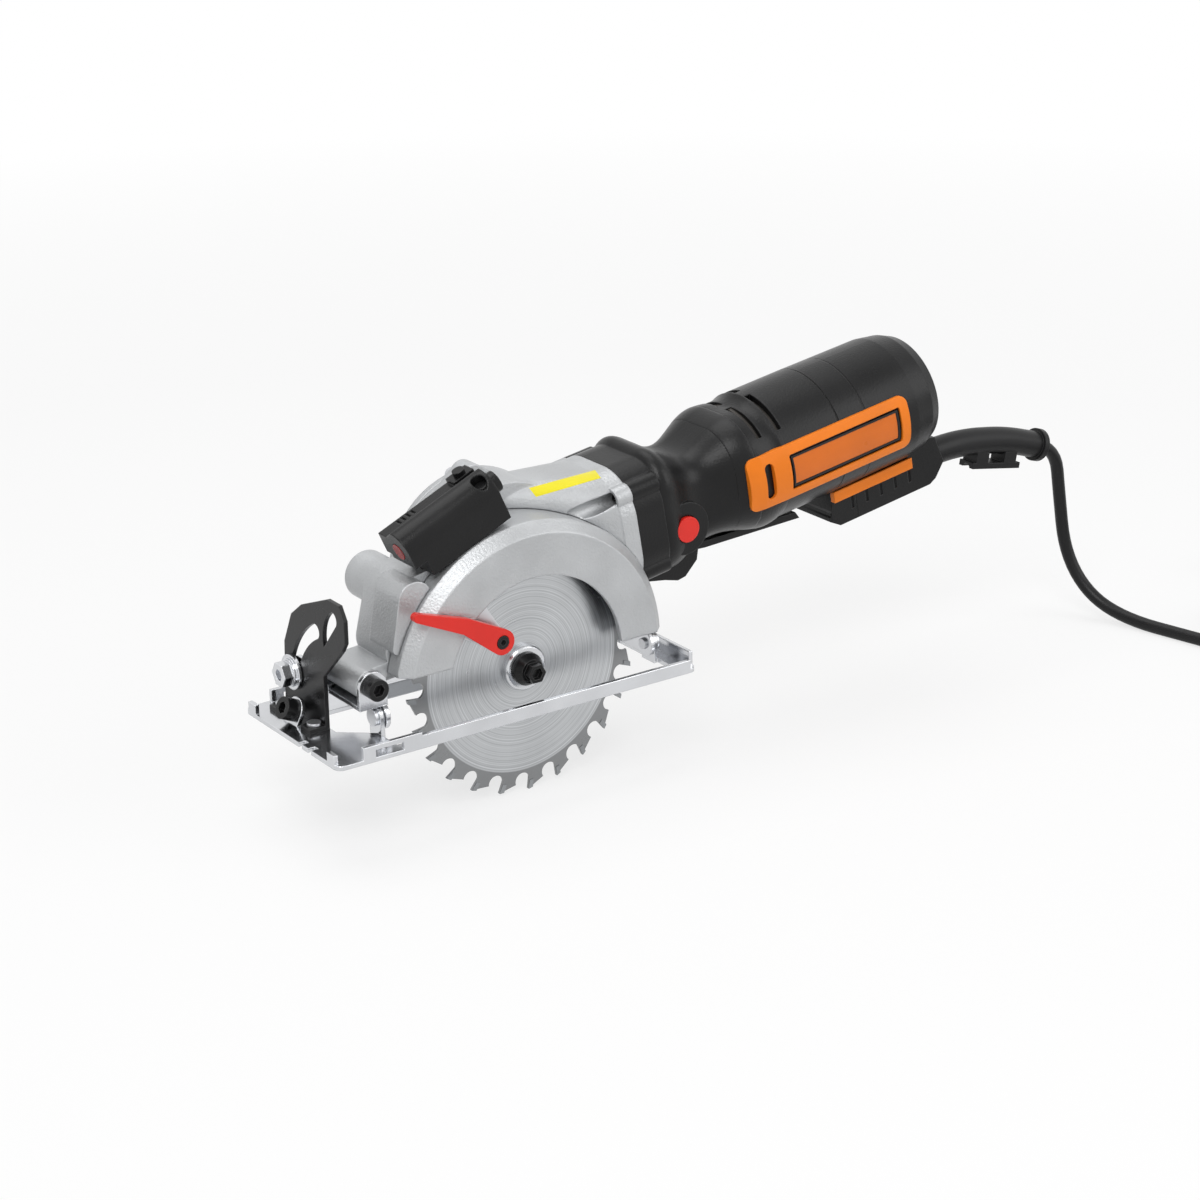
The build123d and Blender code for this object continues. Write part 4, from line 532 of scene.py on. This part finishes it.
def housing_finish(name):
    """Grained black plastic with seams round the motor's axis."""
    material = surface(
        name, (0.006, 0.006, 0.0063), 0.31, scale=1100.0, depth=0.40, edge=0.0010, vary=0.2,
        edge_wear_and_highlight=(0.028, 0.028, 0.029),
    )
    tree = material.node_tree
    shader = tree.nodes["Principled BSDF"]
    group = group_seam()
    mask = 0.0
    for at in SEAMS_AT:
        seam = tree.nodes.new("ShaderNodeGroup")
        seam.node_tree = group
        feed(tree, seam.inputs, (at, SEAM_WIDTH))
        mask = calc(tree, "MAXIMUM", seam.outputs["Mask"], mask)
    dent = tree.nodes.new("ShaderNodeBump")
    dent.invert = True
    labels = ("Strength", "Distance", "Height", "Normal")
    values = (SEAM_STRENGTH, SEAM_DEPTH, mask, shader.inputs["Normal"].links[0].from_socket)
    feed(tree, [dent.inputs[label] for label in labels], values)
    tree.links.new(dent.outputs["Normal"], shader.inputs["Normal"])
    plain = shader.inputs["Base Color"].links[0].from_socket
    tree.links.new(mixed(tree, mask, plain, SEAM_COLOUR), shader.inputs["Base Color"])
    return material


HOUSING = housing_finish("housing_plastic")
print(f"housing: seams {', '.join(f'{at / MM:.0f}' for at in SEAMS_AT)} mm behind the flange")

# %% [markdown]
# ## Painting the solids
#
# Each solid already names the kind of stuff it is made of, its slot. The finishes could be given out by
# hand, piece by piece, but a loop over the slots forgets none. The motor's covers then get the plastic
# with seams, and the flange screws and the pivot bolt the black finish that they show.

# %% Give every solid its finish
COVERS = ("motor_housing", "rear_cover")
BLACK_SCREWS = ("flange_screws", "pivot_bolt")


def paint():
    """Each solid gets the material of its slot, and a few get their own."""
    slots = {s["node"]: s["material_slot"] for s in frame["record"]["subparts"]}
    chosen = {name: MATERIALS[slots[name]] for name in nodes}
    chosen.update({name: HOUSING for name in COVERS})
    chosen.update({name: MATERIALS["black_steel"] for name in BLACK_SCREWS})
    for name, piece in nodes.items():
        piece.data.materials.clear()
        piece.data.materials.append(chosen[name])
    return len({material.name for material in chosen.values()})


print(f"painted {len(nodes)} solids with {paint()} finishes")

# %% [markdown]
# ## Cord route
#
# The cord leaves the strain relief, falls to the floor and is put away in a flat coil with its plug. A
# simulation could drop it, but it would land elsewhere on every change. The free stretch is a list of
# given points, and the coil's turns come from a loop: they spiral in, climb one layer over half
# a turn and spiral out again. A quadratic curve runs a little inside its points, so the coil's points
# are pushed out by about as much.

# %% Plot the cord's points
CORD_DIAMETER = 6.5
CORD_PITCH = 7.3
COIL_INNER = 26.0
COIL_TURNS = 3.25
COIL_AT = (428.0, -85.0)
COIL_START = 180.0
COIL_TAIL = 36.0
CLIMB_TURNS = 0.5
CORD_EXIT = (330.0, 22.0, 47.6)
LYING = FLOOR_Z / MM + CORD_DIAMETER / 2
POINTS_PER_TURN = 20


def around(radius, degrees):
    """The point at a radius and angle about the coil's middle."""
    angle = math.radians(degrees)
    return COIL_AT[0] + radius * math.cos(angle), COIL_AT[1] + radius * math.sin(angle)


def lead_points():
    """The free cord's route from the strain relief to the coil."""
    start_x, start_y = around(COIL_INNER + CORD_PITCH * COIL_TURNS, COIL_START)
    x, y, z = CORD_EXIT
    return [
        CORD_EXIT,
        (x + 12.5, y, z - 3.958),
        (x + 16.0, y - 0.6, 18.5),
        (x + 19.0, y - 3.5, -13.0),
        (x + 24.0, y - 17, LYING + 9),
        (x + 31.0, y - 39, LYING),
        (start_x - 9.3, start_y + CORD_DIAMETER + 26, LYING),
        (start_x - 3.3, start_y + CORD_DIAMETER, LYING),
    ]


def coil_points():
    """The coil's turns and the tail that enters the plug."""
    total = 2 * COIL_TURNS
    steps = round(total * POINTS_PER_TURN)
    swell = math.cos(math.pi / POINTS_PER_TURN) ** 0.5
    points = []
    for i in range(steps + 1):
        turns = total * i / steps
        radius = COIL_INNER + CORD_PITCH * abs(turns - COIL_TURNS)
        climb = min(max((turns - COIL_TURNS) / CLIMB_TURNS + 0.5, 0.0), 1.0)
        rise = CORD_PITCH * climb * climb * (3 - 2 * climb)
        points.append((*around(radius / swell, COIL_START + 360 * turns), LYING + rise))
    x, y, z = points[-1]
    return points + [(x, y + COIL_TAIL / 2, z), (x, y + COIL_TAIL, z)]


cord_route = lead_points() + coil_points()
print(f"cord route: {len(cord_route)} points, {2 * COIL_TURNS} turns in two layers")

# %% [markdown]
# ## Growing pieces with Geometry Nodes
#
# The strap round the cord and the flange's screw heads follow a rule, so a tree of Geometry Nodes makes
# each of them. It could stay as a live modifier, but each piece is kept as a plain mesh. Every tree
# here begins with named sizes and ends alike: copies on points, made real and given their material. The
# grown result then takes the place of the points, and the modifier goes.

# %% Start, end and use a tree


def geometry_tree(name, sizes):
    """An empty Geometry Nodes tree with inputs for sizes and a material: the tree, its start and its end."""
    tree = bpy.data.node_groups.new(name, "GeometryNodeTree")
    tree.interface.new_socket("Geometry", in_out="INPUT", socket_type="NodeSocketGeometry")
    for label in sizes:
        tree.interface.new_socket(label, in_out="INPUT", socket_type="NodeSocketFloat")
    tree.interface.new_socket("Material", in_out="INPUT", socket_type="NodeSocketMaterial")
    tree.interface.new_socket("Geometry", in_out="OUTPUT", socket_type="NodeSocketGeometry")
    return tree, tree.nodes.new("NodeGroupInput"), tree.nodes.new("NodeGroupOutput")


def place_copies(tree, into, out, shape, rotation):
    """The end of a tree: a copy of the shape on every point, made real and given its material."""
    place = tree.nodes.new("GeometryNodeInstanceOnPoints")
    place.inputs["Rotation"].default_value = rotation
    real = tree.nodes.new("GeometryNodeRealizeInstances")
    finish = tree.nodes.new("GeometryNodeSetMaterial")
    link = tree.links.new
    link(into.outputs["Geometry"], place.inputs["Points"])
    link(shape, place.inputs["Instance"])
    link(place.outputs[0], real.inputs[0])
    link(real.outputs[0], finish.inputs["Geometry"])
    link(into.outputs["Material"], finish.inputs["Material"])
    link(finish.outputs[0], out.inputs[0])


def grow(name, points, tree, values):
    """A plain mesh object grown by a tree on a set of points, with the tree's inputs set by identifier."""
    mesh = bpy.data.meshes.new(name)
    mesh.from_pydata(points, [], [])
    piece = bpy.data.objects.new(name, mesh)
    scene.collection.objects.link(piece)
    modifier = piece.modifiers.new("grow", "NODES")
    modifier.node_group = tree
    for socket in tree.interface.items_tree:
        if socket.in_out == "INPUT" and socket.name in values:
            modifier[socket.identifier] = values[socket.name]
    bpy.context.view_layer.update()
    ready = piece.evaluated_get(bpy.context.evaluated_depsgraph_get())
    grown = bpy.data.meshes.new_from_object(ready)
    piece.modifiers.clear()
    piece.data = grown
    return piece


print("helpers: geometry_tree, place_copies, grow")

# %% [markdown]
# ## Strap round the coil
#
# A flat strap holds the turns together. It could be drawn as a bent box, but its size follows the coil.
# So a rounded rectangle is the path, a small rectangle is the strap's section, and Curve to Mesh sweeps
# one along the other. The tree's inputs are the strap's sizes, worked out from the cord and the coil.

# %% Sweep the strap
TIE_WIDTH = 7.0
TIE_THICKNESS = 0.7
TIE_ANGLE = 270.0
TIE_CORNER_STEPS = 8


def tie_tree():
    """A flat strap bent round a rounded rectangle."""
    tree, into, out = geometry_tree("cord_tie", ("Across", "Tall", "Corner", "Width", "Thickness"))
    loop = tree.nodes.new("GeometryNodeCurvePrimitiveQuadrilateral")
    strap = tree.nodes.new("GeometryNodeCurvePrimitiveQuadrilateral")
    fillet = tree.nodes.new("GeometryNodeFilletCurve")
    fillet.mode = "POLY"
    fillet.inputs["Count"].default_value = TIE_CORNER_STEPS
    sweep = tree.nodes.new("GeometryNodeCurveToMesh")
    stand = tree.nodes.new("GeometryNodeTransform")
    stand.inputs["Rotation"].default_value = (math.pi / 2, 0.0, 0.0)
    link = tree.links.new
    link(into.outputs["Across"], loop.inputs["Width"])
    link(into.outputs["Tall"], loop.inputs["Height"])
    link(into.outputs["Thickness"], strap.inputs["Width"])
    link(into.outputs["Width"], strap.inputs["Height"])
    link(loop.outputs[0], fillet.inputs["Curve"])
    link(into.outputs["Corner"], fillet.inputs["Radius"])
    link(fillet.outputs[0], sweep.inputs["Curve"])
    link(strap.outputs[0], sweep.inputs["Profile Curve"])
    link(sweep.outputs[0], stand.inputs["Geometry"])
    place_copies(tree, into, out, stand.outputs[0], (0.0, 0.0, math.radians(TIE_ANGLE)))
    return tree


def add_tie():
    """The strap round the coil's turns, on the side away from the plug."""
    passed = (TIE_ANGLE - COIL_START) / 360
    outer = COIL_INNER + CORD_PITCH * (COIL_TURNS - passed) + CORD_DIAMETER / 2
    inner = COIL_INNER - CORD_DIAMETER / 2
    tall = CORD_DIAMETER + CORD_PITCH
    middle = around((outer + inner) / 2, TIE_ANGLE)
    low = FLOOR_Z / MM + TIE_THICKNESS / 2
    values = {
        "Across": (outer - inner + TIE_THICKNESS) * MM,
        "Tall": tall * MM,
        "Corner": CORD_DIAMETER / 2 * MM,
        "Width": TIE_WIDTH * MM,
        "Thickness": TIE_THICKNESS * MM,
        "Material": MATERIALS["rubber"],
    }
    tie = grow("cord_tie", [Vector((*middle, low + tall / 2)) * MM], tie_tree(), values)
    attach(tie, "head")
    return tie


def describe(piece):
    """Print a piece's face count and its size in millimetres."""
    spans = [[vertex.co[axis] for vertex in piece.data.vertices] for axis in range(3)]
    sizes = " x ".join(f"{(max(span) - min(span)) / MM:.1f}" for span in spans)
    print(f"{piece.name}: {len(piece.data.polygons)} faces, {sizes} mm")


cord_tie = add_tie()
describe(cord_tie)

# %% [markdown]
# ## Cord
#
# A rubber cord is a round tube along a smooth path. A mesh could be swept along it by hand, but a curve
# object with a round bevel is that tube, and it stays easy to edit. One NURBS spline carries both the
# free stretch and the coil, so no joint shows. A point's radius multiplies the bevel's depth, so with a
# depth of one the points carry the cord's own radius in metres. The rubber goes on last: Blender then
# gives the curve the box of its points.

# %% Draw the cord
CORD_ROUND_STEPS = 5
CORD_LENGTH_STEPS = 6


def add_cord():
    """The cord as one NURBS tube."""
    curve = bpy.data.curves.new("cord", "CURVE")
    curve.dimensions = "3D"
    curve.bevel_depth = 1.0
    curve.bevel_resolution = CORD_ROUND_STEPS
    curve.resolution_u = CORD_LENGTH_STEPS
    spline = curve.splines.new("NURBS")
    spline.points.add(len(cord_route) - 1)
    for place, point in zip(cord_route, spline.points):
        point.co = (place[0] * MM, place[1] * MM, place[2] * MM, 1.0)
        point.radius = CORD_DIAMETER / 2 * MM
    spline.order_u = 3
    spline.use_endpoint_u = True
    cord = bpy.data.objects.new("cord", curve)
    scene.collection.objects.link(cord)
    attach(cord, "head")
    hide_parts("cord_lead", "cord_coil")
    curve.materials.append(MATERIALS["rubber"])
    return cord


cord = add_cord()
print(f"cord: {CORD_DIAMETER} mm thick, {cord.data.splines[0].calc_length():.2f} m along its points")

# %% [markdown]
# ## Skin over the housing's shoulder
#
# Behind its neck the motor housing swells in a shoulder. The bore inside comes so close to the outside
# there that it breaks through the wall in small places. A modelled patch over each would show its edge.
# A thin closed skin over the whole shoulder doesn't: rays find the housing's radius on both sides of the
# shoulder, where the wall is sound, and a smooth curve through these ends and their slopes joins them.
# The skin rises a hair over the housing and dips under it at its own edges.

# %% Measure the shoulder
SHOULDER_S = (57.0, 69.0)
SLOPE_S = (54.0, 71.0)
RAY_START = 60.0
MOTOR_UP = Vector((-math.sin(MOTOR_TILT), 0.0, math.cos(MOTOR_TILT)))


def motor_place(s, y, z):
    """A point given along, across and above the motor's axis, in millimetres from the flange."""
    return MOTOR_AT + (MOTOR_AXIS * s + Vector((0.0, y, 0.0)) + MOTOR_UP * z) * MM


def motor_point(s, radius, degrees):
    """A point about the motor's axis, from its distance along it, its radius and its angle."""
    angle = math.radians(degrees)
    return motor_place(s, radius * math.cos(angle), radius * math.sin(angle))


def ray_target(piece):
    """A solid as a tree of faces that rays can be cast at."""
    mesh = piece.data
    return BVHTree.FromPolygons([v.co for v in mesh.vertices], [tuple(p.vertices) for p in mesh.polygons])


def wall_radius(target, s, degrees):
    """Radius of the housing's outside at a station and an angle."""
    start = motor_point(s, RAY_START, degrees)
    axis = motor_point(s, 0.0, degrees)
    hit, _, _, _ = target.ray_cast(start, (axis - start).normalized())
    return (hit - axis).length / MM


def shoulder_curve(target, degrees):
    """The housing's radius over the shoulder, as a smooth curve through its two ends and their slopes."""
    span = SHOULDER_S[1] - SHOULDER_S[0]
    start, end = [wall_radius(target, s, degrees) for s in SHOULDER_S]
    before, after = [wall_radius(target, s, degrees) for s in SLOPE_S]
    slope_in = (start - before) / (SHOULDER_S[0] - SLOPE_S[0]) * span
    slope_out = (after - end) / (SLOPE_S[1] - SHOULDER_S[1]) * span

    def radius(t):
        near = (2 * t**3 - 3 * t**2 + 1) * start + (t**3 - 2 * t**2 + t) * slope_in
        far = (3 * t**2 - 2 * t**3) * end + (t**3 - t**2) * slope_out
        return near + far

    return radius


housing_target = ray_target(nodes["motor_housing"])
shoulder_top = shoulder_curve(housing_target, 90.0)
print(f"shoulder, on top: radius {shoulder_top(0.0):.1f} mm at the neck, {shoulder_top(1.0):.1f} mm behind")

# %% [markdown]
# ## Laying the skin
#
# The skin is a thin closed shell, because a single sheet would have a bare edge and no inside. Solidify
# could thicken a sheet, but here the section is known at every angle: out along the curve and back a
# little lower. Sections at many angles are joined into quads, both ends are closed with one face each,
# and the normals are turned outwards together.

# %% Lay the skin
SKIN_DEGREES = (-68.0, 248.0)
SKIN_COLUMNS = 120
SKIN_ROWS = 12
SKIN_WALL = 0.3
SKIN_RISE = 0.04


def add_piece(name, points, faces, materials, picks, body):
    """A mesh piece that rides on a body and takes its finish from a slot."""
    mesh = bpy.data.meshes.new(name)
    mesh.from_pydata(points, [], faces)
    for material in materials:
        mesh.materials.append(material)
    for polygon, pick in zip(mesh.polygons, picks):
        polygon.material_index = pick
    mesh.update()
    piece = bpy.data.objects.new(name, mesh)
    scene.collection.objects.link(piece)
    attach(piece, body)
    return piece


def skin_section(degrees):
    """The skin's closed section at an angle: out along its face and back along its underside."""
    radius = shoulder_curve(housing_target, degrees)
    shares = [j / SKIN_ROWS for j in range(SKIN_ROWS + 1)]
    section = []
    for depth, path in ((0.0, shares), (SKIN_WALL, shares[::-1])):
        for share in path:
            s = SHOULDER_S[0] + (SHOULDER_S[1] - SHOULDER_S[0]) * share
            rise = SKIN_RISE if 0.0 < share < 1.0 else -SKIN_RISE
            section.append(motor_point(s, radius(share) + rise - depth, degrees))
    return section


def point_outwards(mesh):
    """Turn all faces of a closed mesh outwards."""
    shell = bmesh.new()
    shell.from_mesh(mesh)
    bmesh.ops.recalc_face_normals(shell, faces=shell.faces)
    shell.to_mesh(mesh)
    shell.free()


def add_skin():
    """A thin closed skin over the shoulder, left open underneath."""
    points = []
    for i in range(SKIN_COLUMNS + 1):
        points += skin_section(SKIN_DEGREES[0] + (SKIN_DEGREES[1] - SKIN_DEGREES[0]) * i / SKIN_COLUMNS)
    ring = 2 * (SKIN_ROWS + 1)
    last = SKIN_COLUMNS * ring
    faces = [tuple(range(ring)), tuple(reversed(range(last, last + ring)))]
    for i in range(SKIN_COLUMNS):
        for j in range(ring):
            k = (j + 1) % ring
            faces.append((i * ring + j, (i + 1) * ring + j, (i + 1) * ring + k, i * ring + k))
    skin = add_piece("housing_lining", points, faces, (HOUSING,), [0] * len(faces), "head")
    point_outwards(skin.data)
    skin.data.shade_smooth()
    return skin


describe(add_skin())

# %% [markdown]
# ## Screw heads on the flange
#
# Four black socket screws hold the motor's flange to the gear case. Their heads repeat, so Geometry
# Nodes make one and place it four times. A sphere is flattened to a dome, a six-sided prism is cut out
# of it for the key, and a copy goes on every point, turned to face along the motor's axis.

# %% Set the screw heads
SCREW_Y = 23.0
SCREW_Z = 19.5
SCREW_HEAD_S = -5.0
SCREW_HEAD_R = 3.3
SCREW_HEAD_RISE = 1.9
KEY_R = 1.7
KEY_DEPTH = 3.0
DOME_SEGMENTS = 32
DOME_RINGS = 16
KEY_SIDES = 6


def screw_tree():
    """A domed socket head on each point, turned to face along the motor's axis."""
    tree, into, out = geometry_tree("screw_heads", ("Radius", "Rise", "Key Radius", "Key Depth"))
    dome = tree.nodes.new("GeometryNodeMeshUVSphere")
    dome.inputs["Segments"].default_value = DOME_SEGMENTS
    dome.inputs["Rings"].default_value = DOME_RINGS
    dome.inputs["Radius"].default_value = 1.0
    size = tree.nodes.new("ShaderNodeCombineXYZ")
    flatten = tree.nodes.new("GeometryNodeTransform")
    key = tree.nodes.new("GeometryNodeMeshCylinder")
    key.inputs["Vertices"].default_value = KEY_SIDES
    height = tree.nodes.new("ShaderNodeCombineXYZ")
    lift = tree.nodes.new("GeometryNodeTransform")
    cut = tree.nodes.new("GeometryNodeMeshBoolean")
    cut.operation = "DIFFERENCE"
    link = tree.links.new
    for axis, label in zip("XYZ", ("Radius", "Radius", "Rise")):
        link(into.outputs[label], size.inputs[axis])
    link(dome.outputs["Mesh"], flatten.inputs["Geometry"])
    link(size.outputs[0], flatten.inputs["Scale"])
    link(into.outputs["Key Radius"], key.inputs["Radius"])
    link(into.outputs["Key Depth"], key.inputs["Depth"])
    link(into.outputs["Rise"], height.inputs["Z"])
    link(key.outputs["Mesh"], lift.inputs["Geometry"])
    link(height.outputs[0], lift.inputs["Translation"])
    link(flatten.outputs[0], cut.inputs["Mesh 1"])
    link(lift.outputs[0], cut.inputs["Mesh 2"])
    place_copies(tree, into, out, cut.outputs["Mesh"], (0.0, -math.pi / 2 - MOTOR_TILT, 0.0))
    return tree


def add_screw_heads():
    """Black domed heads on the four screws of the motor's flange."""
    corners = [(y, z) for y in (-SCREW_Y, SCREW_Y) for z in (-SCREW_Z, SCREW_Z)]
    values = {
        "Radius": SCREW_HEAD_R * MM,
        "Rise": SCREW_HEAD_RISE * MM,
        "Key Radius": KEY_R * MM,
        "Key Depth": KEY_DEPTH * MM,
        "Material": MATERIALS["black_steel"],
    }
    places = [motor_place(SCREW_HEAD_S, y, z) for y, z in corners]
    heads = grow("flange_screw_heads", places, screw_tree(), values)
    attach(heads, "head")
    return heads


describe(add_screw_heads())

# %% [markdown]
# ## Badge plate
#
# A thin orange plate with a raised rim lies in the window of the near side panel, bent to the
# barrel. The rim is painted near black as painted shade, standing for the thin dark groove round the plate.
# A flat plane could be shrink-wrapped onto the barrel. Since the barrel is a cylinder, the
# height of every point follows from its radius, so the plate is a grid worked out from a formula, with
# rows close together where the rim rises.

# %% Bend the badge plate
BADGE = surface("badge", (0.66, 0.145, 0.008), 0.30, depth=0.05, edge=0.0003, vary=0.05, coat=0.2)
# The rim's near black is painted shade, standing for the thin groove round the plate.
BADGE_RIM_SHADE = surface("badge_rim_painted_shade", (0.010, 0.010, 0.0105), 0.32, depth=0.05, edge=0.0002, vary=0.06)
BARREL_R = 31.6
BADGE_S = (86.0, 151.0)
BADGE_HALF = 7.8
BADGE_STEPS = (12, 8)
RIM_STEPS = (0.0, 0.2, 1.1, 1.4)
RIM_STARTS = 0.1
RIM_ENDS = 1.2
BADGE_SUNK = -0.3
RIM_HEIGHT = 0.95
FACE_HEIGHT = 0.45


def badge_steps(length, steps):
    """Distances across the plate: close together at the raised rim, even between."""
    inner = RIM_STEPS[-1]
    middle = [inner + (length - 2 * inner) * i / steps for i in range(1, steps)]
    return [*RIM_STEPS, *middle, *(length - d for d in reversed(RIM_STEPS))]


def badge_height(edge):
    """Height of the plate over the barrel, by the distance to its border."""
    if edge < RIM_STARTS:
        return BADGE_SUNK
    return RIM_HEIGHT if edge < RIM_ENDS else FACE_HEIGHT


def add_badge():
    """The plate as a grid on the barrel's near flank, its face in one material and its rim, painted near
    black as shade, in another.
    """
    length, width = BADGE_S[1] - BADGE_S[0], 2 * BADGE_HALF
    stations = badge_steps(length, BADGE_STEPS[0])
    heights = badge_steps(width, BADGE_STEPS[1])
    points = []
    for s in stations:
        for h in heights:
            r = BARREL_R + badge_height(min(s, length - s, h, width - h))
            z = h - BADGE_HALF
            points.append(motor_place(BADGE_S[0] + s, -math.sqrt(r * r - z * z), z))
    columns, rows, rim = len(stations), len(heights), len(RIM_STEPS)
    faces = []
    picks = []
    for i in range(columns - 1):
        for j in range(rows - 1):
            corner = i * rows + j
            faces.append((corner, corner + rows, corner + rows + 1, corner + 1))
            on_face = rim - 1 <= i < columns - rim and rim - 1 <= j < rows - rim
            picks.append(0 if on_face else 1)
    return add_piece("badge_near", points, faces, (BADGE, BADGE_RIM_SHADE), picks, "head")


describe(add_badge())

# %% [markdown]
# ## Sticker on the gear case
#
# A thin bare sticker lies on the casting and follows its curve. A picture texture would need a map of the
# casting. As a mesh of its own the sticker keeps a crisp edge in every view. Its corners are places in
# the camera's frame: rays from the camera through a grid between them find the casting, and each point
# is lifted a hair along the surface's normal, least at the border.

# %% Lay the sticker
STICKER = surface("sticker", (0.84, 0.74, 0.03), 0.32, scale=600.0, depth=0.02, edge=0.0001, vary=0.03)
STICKER_CORNERS = ((529.0, 488.0), (595.0, 470.0), (601.0, 478.0), (536.0, 497.0))
STICKER_GRID = (26, 6)
STICKER_LIFT = 0.12
STICKER_BORDER_LIFT = 0.02


def sight_line(pixel):
    """Direction from the camera through a pixel of the 1200 pixel frame."""
    across = (pixel[0] - FRAME_PIXELS / 2) / LENS_PIXELS
    down = (pixel[1] - FRAME_PIXELS / 2) / LENS_PIXELS
    return (camera_basis() @ Vector((across, -down, -1.0))).normalized()


def add_sticker():
    """A bare yellow sticker laid on the gear case along the camera's sight lines."""
    target = ray_target(nodes["gear_case"])
    left_top, right_top, right_low, left_low = [Vector(corner) for corner in STICKER_CORNERS]
    across, down = STICKER_GRID
    points = []
    for i in range(across + 1):
        top = left_top.lerp(right_top, i / across)
        low = left_low.lerp(right_low, i / across)
        for j in range(down + 1):
            hit, normal, _, _ = target.ray_cast(CAMERA_AT, sight_line(top.lerp(low, j / down)))
            border = i in (0, across) or j in (0, down)
            points.append(hit + normal * (STICKER_BORDER_LIFT if border else STICKER_LIFT) * MM)
    faces = []
    for i in range(across):
        for j in range(down):
            corner = i * (down + 1) + j
            faces.append((corner, corner + 1, corner + down + 2, corner + down + 1))
    return add_piece("case_sticker", points, faces, (STICKER,), [0] * len(faces), "head")


describe(add_sticker())

# %% [markdown]
# ## Colour view
#
# The Standard view keeps the colours as they are written.

# %% Set the view
scene.view_settings.view_transform = "Standard"
